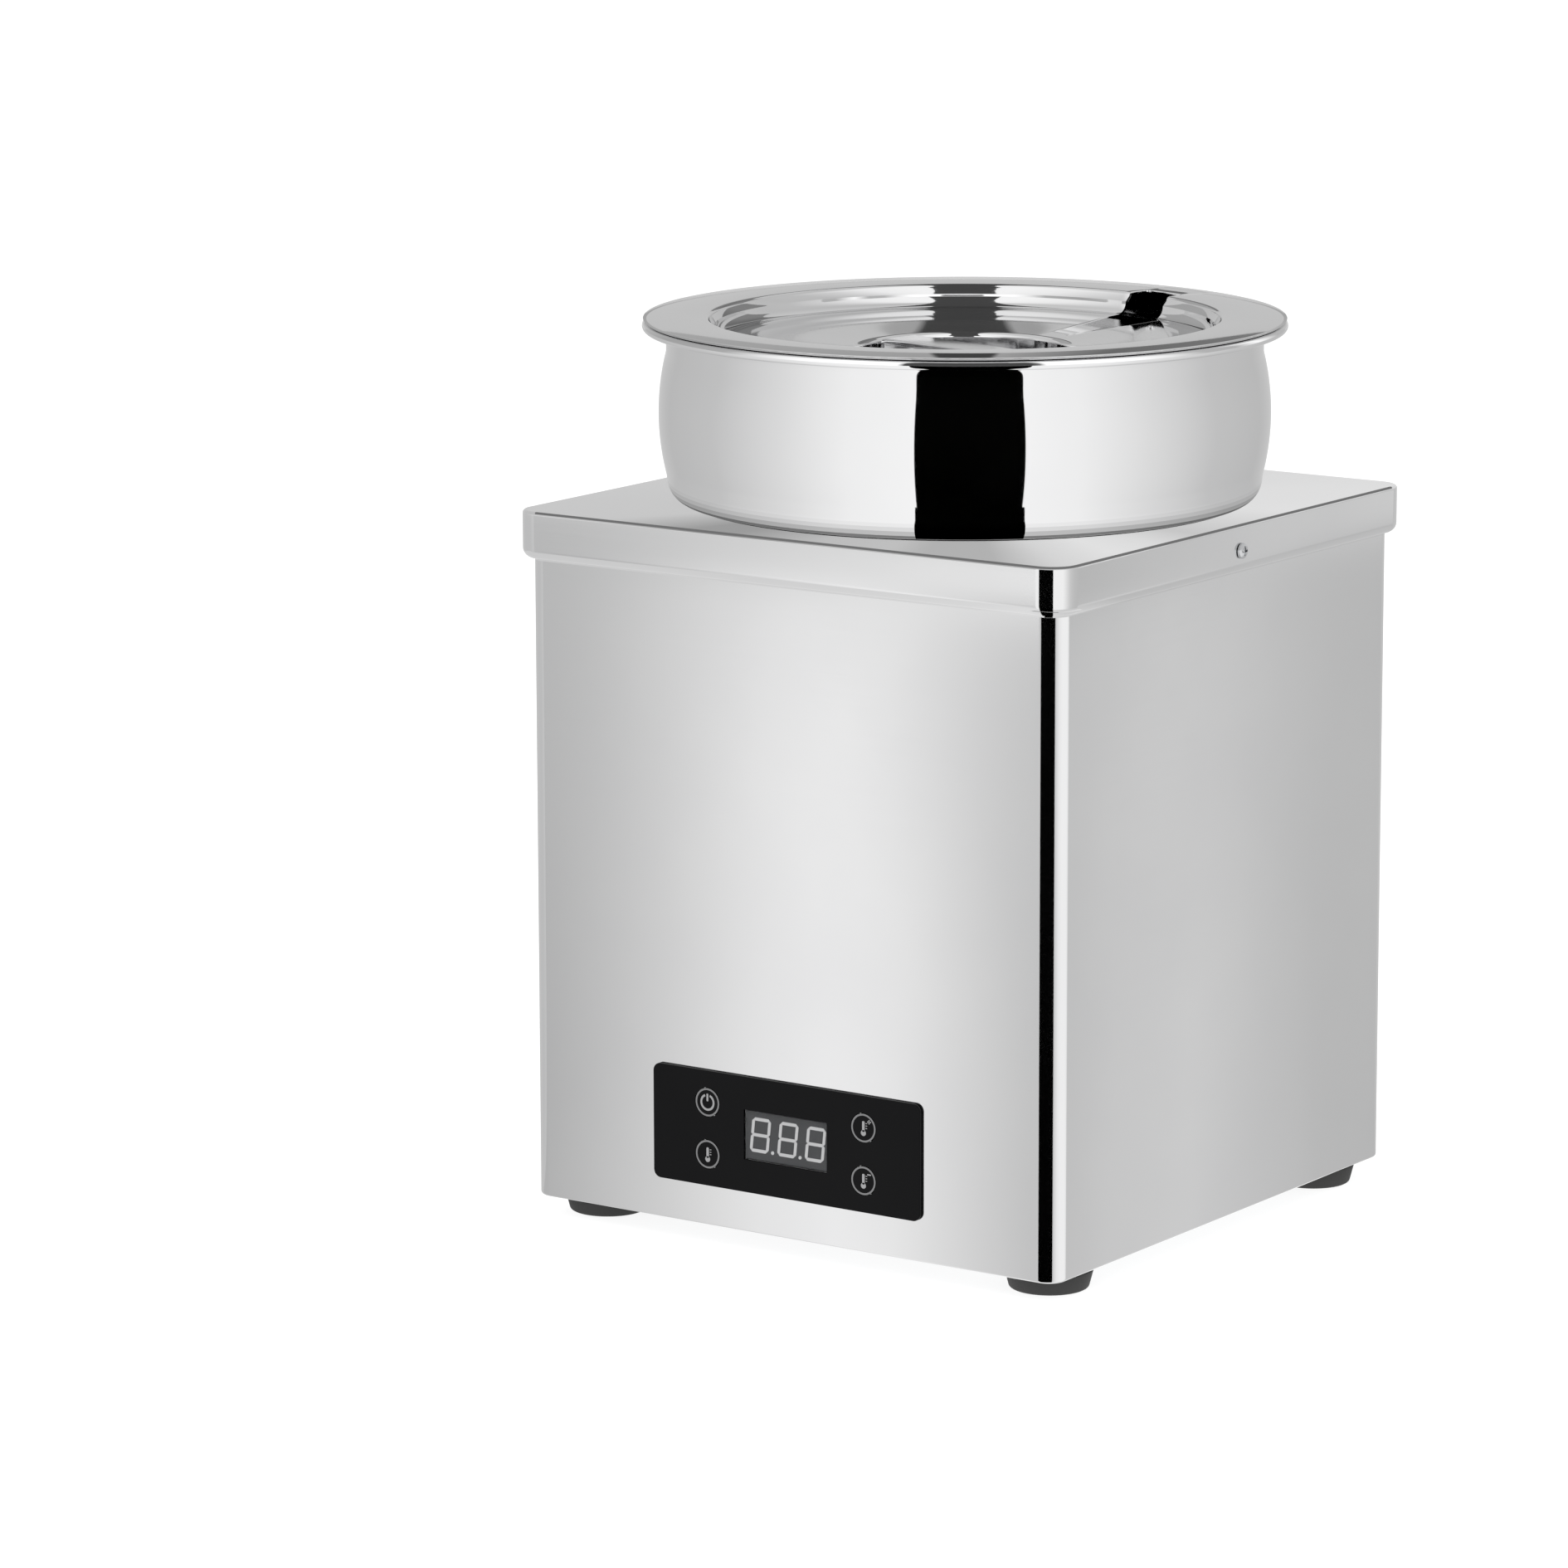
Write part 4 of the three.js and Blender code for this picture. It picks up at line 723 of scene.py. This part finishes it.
def buildInlet():
    x, z = inlet["x"], inlet["z"]
    flange = standUp(roundedSlab(*inlet["flange"], -inlet["face"], -inlet["inner"]), x, z)
    body = standUp(roundedSlab(*inlet["body"], -inlet["inner"], -inlet["back"]), x, z)
    mouth = standUp(roundedSlab(*inlet["mouth"], -inlet["cut"], -inlet["floor"]), x, z)
    cutters = [standUp(roundedSlab(*inlet["mouth"], -inlet["cut"], -inlet["back"]), x, z)]
    for screwX in (x - inlet["screwX"], x + inlet["screwX"]):
        cutters.append(barShape("y", inlet["headHole"], inlet["screwY"], inlet["cut"], screwX, z))
        cutters.append(barShape("y", cabinet["screwHole"], *inlet["shankHole"], screwX, z))
    addPiece("inlet_socket_flange", flange, blackPlastic, "cabinet", ["inlet_socket"],
             cutter=together(cutters), edge=0.35, flat=True)
    cutters = [mouth]
    for pinX, pinZ in pin["places"].values():
        cutters.append(pinShape(x + pinX, z + pinZ, pin["slotY"], pin["gap"]))
    addPiece("inlet_socket_body", body, blackPlastic, "cabinet", ["inlet_socket"],
             cutter=together(cutters), edge=0.3, flat=True)
    for name, (pinX, pinZ) in pin["places"].items():
        addPiece(f"inlet_pin_{name}_blade", pinShape(x + pinX, z + pinZ, pin["y"], 0), brass, "cabinet",
                 [f"inlet_pin_{name}"], edge=0.5, edgeSteps=3)


buildFeet()
buildScrews()
buildInlet()
print("feet, screws and inlet built")


# Inner parts keep their frame shapes and get their own finish
finishes = {
    zincSteel: ["base_tray", "heater_clamp", "heater_nut", "board_bracket"],
    castAluminium: ["heating_plate", "cutout_thermostat"],
    screwSteel: ["temperature_probe"],
    brass: ["earth_screw"],
    mineralWool: ["insulation_jacket"],
    blackPlastic: ["display_frame", "relay"] + [f"key_switch_{name}" for name in keyPlaces()],
    circuitBoard: ["display_board", "power_board"],
    transformerCore: ["transformer"],
    liveSleeve: ["live_lead"],
    neutralSleeve: ["neutral_lead"],
    earthSleeve: ["earth_lead"],
    heaterSleeve: ["heater_lead_left", "heater_lead_right"],
    greySleeve: ["probe_lead", "ribbon_cable"],
}
for material, names in finishes.items():
    for name in names:
        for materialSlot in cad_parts[name].material_slots:
            materialSlot.material = material
print("inner parts finished")


# Studio: a white room, light cards that only reflections show, and the camera. The cards stand still, laid out
# for the rest view. Lamp and camera are in metres, cards in millimetres; a card's shades pair a turn from the
# camera's side, in degrees, with a screen value
studio = {"floorHalf": 30000, "paperGlow": 0.88, "skyGlow": 1.05, "lampSize": 1.6, "lampPower": 9,
          "lampPlace": (-0.5, -0.9, 1.9), "lampAim": (0, 0, 0.15), "cameraSide": 33.45,
          "cameraPlace": (1.4522, -2.1978, 0.6839), "lens": 158.1, "sensor": 36, "clip": (0.05, 80),
          "cameraAxes": ((0.81967, -0.1086, 0.5625), (0.5728, 0.1601, -0.80385), (-0.00275, 0.9811, 0.1934))}
cameraTurn = studio["cameraSide"] - 90
above, below = (0, 0, 900), (0, 0, -900)


def cardMaterial(name, shades, centre=(0, 0), facing=cameraTurn, width=180, gain=1.27, oneSided=False):
    # light by the angle round a centre, over the width to each side of the facing direction
    material = bpy.data.materials.new(name)
    material.use_nodes = True
    tree = material.node_tree
    tree.nodes.clear()
    place = addNode(tree, "TexCoord")
    turned = addNode(tree, "Mapping", {"vector_type": "TEXTURE", "Location": (*centre, 0),
                     "Rotation": (0, 0, radians(facing))}, {"Vector": place.outputs["Object"]})
    angle = addNode(tree, "TexGradient", {"gradient_type": "RADIAL"}, {"Vector": turned.outputs["Vector"]})
    share = addNode(tree, "MapRange", {"From Min": 0.5 - width / 360, "From Max": 0.5 + width / 360},
                    {"Value": angle.outputs["Fac"]})
    ramp = addNode(tree, "ValToRGB", None, {"Fac": share.outputs["Result"]})
    elements = ramp.color_ramp.elements
    elements.remove(elements[-1])
    for number, (turn, value) in enumerate(shades):
        position = 0.5 + turn / (2 * width)
        element = elements[0] if number == 0 else elements.new(position)
        element.position = position
        element.color = (lightOf(value),) * 3 + (1,)
    light = addNode(tree, "Emission", {"Strength": gain}, {"Color": ramp.outputs["Color"]})
    surface = light.outputs["Emission"]
    if oneSided:
        side = addNode(tree, "NewGeometry")
        clear = addNode(tree, "BsdfTransparent")
        mix = addNode(tree, "MixShader", None, {"Fac": side.outputs["Backfacing"]})
        tree.links.new(light.outputs["Emission"], mix.inputs[1])
        tree.links.new(clear.outputs["BSDF"], mix.inputs[2])
        surface = mix.outputs["Shader"]
    addNode(tree, "OutputMaterial", None, {"Surface": surface})
    return material


def addCard(name, bm, material, lookAt=(0, 0, 200)):
    # the card's lit side is turned to the given point
    bm.normal_update()
    turned = [face for face in bm.faces if face.normal.dot(Vector(lookAt) - face.calc_center_median()) < 0]
    bmesh.ops.reverse_faces(bm, faces=turned)
    card = meshObject(name, bm)
    card.data.materials.append(material)
    card.visible_camera = card.visible_diffuse = card.visible_transmission = False
    card.visible_volume_scatter = card.visible_shadow = False


def ringCard(radius, low, high, start=-180, end=180, centre=(0, 0)):
    # an upright band round a centre, between two turns from the camera's side
    bm = bmesh.new()
    ends = [bm.verts.new((centre[0] + radius, centre[1], z)) for z in (low, high)]
    edge = bm.edges.new(ends)
    middle = (*centre, 0)
    bmesh.ops.rotate(bm, cent=middle, matrix=Matrix.Rotation(radians(cameraTurn + start), 3, "Z"), verts=ends)
    bmesh.ops.spin(bm, geom=[*ends, edge], cent=middle, axis=(0, 0, 1), angle=radians(end - start),
                   steps=max(int((end - start) / 3), 4))
    return bm


def discCard(radius, z, inner=0):
    return move(flatRing(radius, inner, sides=120) if inner else flatDisc(radius, 0, 0, 96), 0, 0, z)


def frameCard(inner, outer, z):
    # a flat square frame
    bm = bmesh.new()
    turns = ((-1, -1), (1, -1), (1, 1), (-1, 1))
    near, far = [[bm.verts.new((half * x, half * y, z)) for x, y in turns] for half in (inner, outer)]
    for here, after in ((0, 1), (1, 2), (2, 3), (3, 0)):
        bm.faces.new((near[here], near[after], far[after], far[here]))
    return bm


# The room's walls, roof and floor, and a grey gap overhead from the camera's side up over the lid
tent = {
    "radius": 2200, "high": 1300, "floorRadius": 3000, "floorZ": -2,
    "shades": [(-180, 200), (-113, 193), (-90, 205), (-60, 232), (-30, 243), (30, 243), (52, 236), (75, 205),
               (92, 187), (113, 184), (180, 200)],
    "floorShades": [(-180, 190), (-90, 190), (-60, 205), (10, 240), (95, 240), (103, 190), (180, 190)],
    "rearRadius": 420, "rearArc": (135, 225), "rearZ": (352, 440, 640), "rearLowShade": 181,
    "rearShades": [(-30, 125), (-10, 100), (-2.3, 150), (-2.1, 60), (2.1, 60), (2.3, 150), (25, 158)]}
overhead = {"reach": 500, "z": 345, "shade": 66,      # rows of turn upwards and half width, narrower towards the top
            "rows": ((19, 160), (45, 120), (65, 92), (85, 72), (105, 58), (125, 44), (144, 26))}


def overheadCard():
    side = Matrix.Rotation(radians(studio["cameraSide"]), 3, "Z")
    bm = bmesh.new()
    rows = []
    for turn, half in overhead["rows"]:
        out, up = overhead["reach"] * cos(radians(turn)), overhead["reach"] * sin(radians(turn))
        rows.append([bm.verts.new(side @ Vector((across, -out, overhead["z"] + up))) for across in (-half, half)])
    for low, high in zip(rows, rows[1:]):
        bm.faces.new((low[0], low[1], high[1], high[0]))
    return bm


def buildTent():
    radius, low, middle, high = tent["rearRadius"], *tent["rearZ"]
    cloth = cardMaterial("tentFabricLit", tent["shades"])
    addCard("tent_wall", ringCard(tent["radius"], 0, tent["high"]), cloth)
    addCard("tent_roof", discCard(tent["radius"], tent["high"]), cloth)
    addCard("tent_rear_low", ringCard(radius, low, middle, *tent["rearArc"]),
            cardMaterial("tentFabricRearLow", [(0, tent["rearLowShade"])]))
    addCard("tent_rear_high", ringCard(radius, middle, high, *tent["rearArc"]),
            cardMaterial("tentFabricRearHigh", tent["rearShades"], facing=cameraTurn + 180, width=60))
    addCard("overhead_gap", overheadCard(), cardMaterial("tentGapGrey", [(0, overhead["shade"])]),
            (0, 0, overhead["z"]))
    addCard("tent_floor", discCard(tent["floorRadius"], tent["floorZ"]),
            cardMaterial("tentFloorLit", tent["floorShades"]))


# The floor as the front and right walls mirror it: shades turn round the rest camera's mirror place in each
frontMirror = {"centre": (1.4522, 1.9564), "facing": -124.97, "width": 3}
sideMirror = {"centre": (-1.2108, -2.1978), "facing": 58.7, "width": 3}
floorZ = -1
floorCards = {
    "floor_card_front": {
        "material": "floorCardFront", "mirror": frontMirror,
        "corners": ((-160, -122), (160, -122), (-600, -1389), (-1100, -1389)),
        "shades": [(-2.1, 178), (-1, 209), (-0.2, 232), (0.4, 239), (0.9, 233), (2.1, 196)]},
    "floor_card_skirt": {
        "material": "floorCardSkirt", "mirror": frontMirror,
        "corners": ((-1100, -1389), (-600, -1389), (-700, -1700), (-1400, -1700)),
        "shades": [(-2.2, 175), (-0.4, 209), (0.8, 225), (2.2, 237)]},
    "floor_card_side": {
        "material": "floorCardSide", "mirror": sideMirror,
        "corners": ((122, -160), (122, 160), (932, 1750), (932, 900)),
        "shades": [(-1.4, 191), (-0.9, 201), (-0.2, 205), (0.9, 185), (1.4, 184)]},
    "floor_card_side_skirt": {
        "material": "floorCardSideSkirt", "mirror": sideMirror,
        "corners": ((932, 900), (932, 1750), (1200, 2200), (1200, 1200)),
        "shades": [(-1.4, 180), (-0.4, 196), (1.4, 206)]},
}


def buildFloorCards():
    for name, card in floorCards.items():
        addCard(name, flatShape(card["corners"], floorZ),
                cardMaterial(card["material"], card["shades"], **card["mirror"]))


# Round the pot: white on the camera's side to grey round the sides, with a black strip, and the same on the plate
potTent = {"radius": 136, "z": (278.5, 343.6), "stripRadius": 135.8, "stripArc": (-10.3, 12.6), "shades": [
    (10, 244), (25, 238), (41, 218), (63, 192), (90, 180), (110, 186), (150, 225), (180, 236)]}
potRings = {"z": 278.6, "edges": (109.6, 112, 115, 119, 125, 137), "shares": (0.5, 0.78, 0.9, 0.97, 1),
            "stripZ": 278.65, "strip": ((109.6, -9.3), (137, -10.7), (137, 1.2), (137, 13.2), (109.6, 11.4))}
rimTent = {"high": 400, "arc": (-95, 95), "gain": 1.45, "shades": [
    (-95, 165), (-75, 150), (-52, 160), (-42, 215), (-30, 247), (-12.5, 252), (-12, 66), (14, 66), (14.5, 254),
    (30, 254), (42, 222), (52, 168), (62, 165), (72, 238), (85, 165), (95, 165)]}
lidEdge = {"radius": 123.8, "inner": 122.6, "z": (347.2, 348.75), "arc": (-95, 95),
           "shades": [(-95, 150), (-50, 170), (-20, 200), (25, 208), (60, 180), (95, 150)]}


def mirrored(shades, share):
    both = [(-turn, value) for turn, value in reversed(shades)] + shades
    return [(turn, value * share) for turn, value in both]


def buildPotCards(black):
    radius, low, high, shades = potTent["radius"], *potTent["z"], potTent["shades"]
    addCard("pot_tent", ringCard(radius, low, high),
            cardMaterial("potTentShaded", mirrored(shades, 1), oneSided=True))
    addCard("pot_strip", ringCard(potTent["stripRadius"], low, high, *potTent["stripArc"]), black)
    edges = potRings["edges"]
    for number, (inner, outer, share) in enumerate(zip(edges, edges[1:], potRings["shares"])):
        shaded = cardMaterial(f"potRingShaded{number}", mirrored(shades, share), oneSided=True)
        addCard(f"pot_ring_{number}", discCard(outer, potRings["z"], inner), shaded, above)
    corners = [(reach * cos(radians(cameraTurn + turn)), reach * sin(radians(cameraTurn + turn)))
               for reach, turn in potRings["strip"]]
    addCard("pot_ring_strip", flatShape(corners, potRings["stripZ"]), black, above)
    addCard("pot_tent_top", ringCard(radius, high, rimTent["high"], *rimTent["arc"]),
            cardMaterial("rimTentShaded", rimTent["shades"], gain=rimTent["gain"], oneSided=True))
    edge = cardMaterial("lidEdgeShaded", lidEdge["shades"], oneSided=True)
    addCard("lid_edge", ringCard(lidEdge["radius"], *lidEdge["z"], *lidEdge["arc"]), edge)
    addCard("lid_edge_top", discCard(lidEdge["radius"], lidEdge["z"][1], lidEdge["inner"]), edge, below)


# Over the plate, a dark strip just off its front and right folds, and under the hem with a black strip
plateRing = {"radius": 182, "inner": 107.6, "z": 278.3, "shades": [
    (-180, 200), (-68, 190), (-52, 149), (-44, 149), (-26, 180), (-12, 184), (-6, 170), (4, 170), (12, 203),
    (22, 216), (32, 210), (44, 190), (75, 214), (100, 212), (180, 200)]}
crease = {"off": 0.3, "z": (277.6, 278.28), "drawIn": 2, "end": 100, "level": 0.97, "shade": 112}
hem = {"inner": 118, "outer": 130, "z": 258.6, "stripZ": 258.65,
       "shades": [(-180, 190), (-70, 205), (0, 216), (8, 222), (13, 205), (25, 186), (60, 186), (180, 190)],
       "strip": ((114.5, -119.8), (114.4, -124.8), (112.9, -130), (124.6, -129.6), (117.4, -119))}


def creaseCard():
    width, corner = cover["width"] + 2 * crease["off"], cover["corner"] + crease["off"]
    straight = (width - 2 * corner) / 2
    bm = roundedSlab(width, width, corner, *crease["z"], 12)
    for vert in [vert for vert in bm.verts if vert.co.z > cover["high"]]:
        for axis in (0, 1):
            near = max(-straight, min(straight, vert.co[axis]))
            vert.co[axis] = near + (vert.co[axis] - near) * (corner - crease["drawIn"]) / corner
    unused = [face for face in bm.faces if abs(face.normal.z) > crease["level"]
              or face.calc_center_median().x < -crease["end"] or face.calc_center_median().y > crease["end"]]
    bmesh.ops.delete(bm, geom=unused, context="FACES")
    return bm


def buildPlateCards(black):
    addCard("plate_ring", discCard(plateRing["radius"], plateRing["z"], plateRing["inner"]),
            cardMaterial("plateRingShaded", plateRing["shades"], oneSided=True), below)
    addCard("crease_strip", creaseCard(), cardMaterial("creaseStripGrey", [(0, crease["shade"])]))
    addCard("hem_card", frameCard(hem["inner"], hem["outer"], hem["z"]),
            cardMaterial("hemShaded", hem["shades"], oneSided=True), above)
    addCard("hem_strip", flatShape(hem["strip"], hem["stripZ"]), black, above)


# Narrow bands round the front right corner: a black strip, then white to grey on its right
cornerBands = {
    "wall": {
        "material": "cornerWallShaded", "centre": cabinet["width"] / 2 - cabinet["corner"], "z": (-6, 259.5),
        "lookZ": 120, "radius": 12.5, "arc": (-50, 83), "stripRadius": 12.3, "stripArc": (-45.5, 13.4),
        "shades": [(-60, 198), (14.3, 196), (20, 216), (31, 234), (45, 241), (70, 241), (83, 226)]},
    "skirt": {
        "material": "cornerSkirtShaded", "centre": cover["width"] / 2 - cover["corner"], "z": (236, 300),
        "lookZ": 268, "radius": 16, "arc": (-45.5, 78), "stripRadius": 15.8, "stripArc": (-36.5, 0.6),
        "shades": [(-60, 238), (9, 240), (26, 240), (47, 199), (60, 189), (78, 184)]},
}


def buildCornerCards(black):
    for name, card in cornerBands.items():
        centre = (card["centre"], -card["centre"])
        lookAt = (*centre, card["lookZ"])
        addCard(f"corner_{name}_strip", ringCard(card["stripRadius"], *card["z"], *card["stripArc"], centre), black,
                lookAt)
        shaded = cardMaterial(card["material"], card["shades"], [place * mm for place in centre], width=100)
        addCard(f"corner_{name}", ringCard(card["radius"], *card["z"], *card["arc"], centre), shaded, lookAt)


def buildRoom():
    floor = bmesh.new()
    bmesh.ops.create_grid(floor, x_segments=8, y_segments=8, size=studio["floorHalf"])
    ground = meshObject("studio_floor", floor)
    paper, tree, shader = newMaterial("backdropAcrylicLitWhite", "#828282", 0.9, 0, {
        "Emission Color": (1, 1, 1, 1), "Emission Strength": studio["paperGlow"]})
    speck = grain(tree, (60, 60, 60))
    colourFrom(tree, shader, speck.outputs["Fac"], "#848484", "#808080")
    ground.data.materials.append(paper)
    ground.visible_glossy = False

    world = bpy.data.worlds.new("studioWhite")
    scene.world = world
    world.use_nodes = True
    sky = world.node_tree.nodes["Background"]
    sky.inputs["Color"].default_value = (1, 1, 1, 1)
    sky.inputs["Strength"].default_value = studio["skyGlow"]
    world.cycles_visibility.glossy = False

    soft = bpy.data.lights.new("overheadSoft", "AREA")
    soft.shape = "DISK"
    soft.size = studio["lampSize"]
    soft.energy = studio["lampPower"]
    lamp = bpy.data.objects.new("overhead_soft", soft)
    lamp.location = studio["lampPlace"]
    lamp.rotation_euler = (Vector(studio["lampAim"]) - lamp.location).to_track_quat("-Z", "Y").to_euler()
    lamp.visible_glossy = False
    scene.collection.objects.link(lamp)

    camera = bpy.data.cameras.new("camera")
    camera.lens = studio["lens"]
    camera.sensor_width = studio["sensor"]
    camera.clip_start, camera.clip_end = studio["clip"]
    viewer = bpy.data.objects.new("camera", camera)
    viewer.location = studio["cameraPlace"]
    viewer.rotation_euler = Matrix(studio["cameraAxes"]).to_euler()
    scene.collection.objects.link(viewer)
    scene.camera = viewer
    scene.view_settings.view_transform = "Standard"


flocked = cardMaterial("flockedCardBlack", [(0, 0)], gain=0, oneSided=True)
buildTent()
buildFloorCards()
buildPotCards(flocked)
buildPlateCards(flocked)
buildCornerCards(flocked)
buildRoom()
print("studio set")
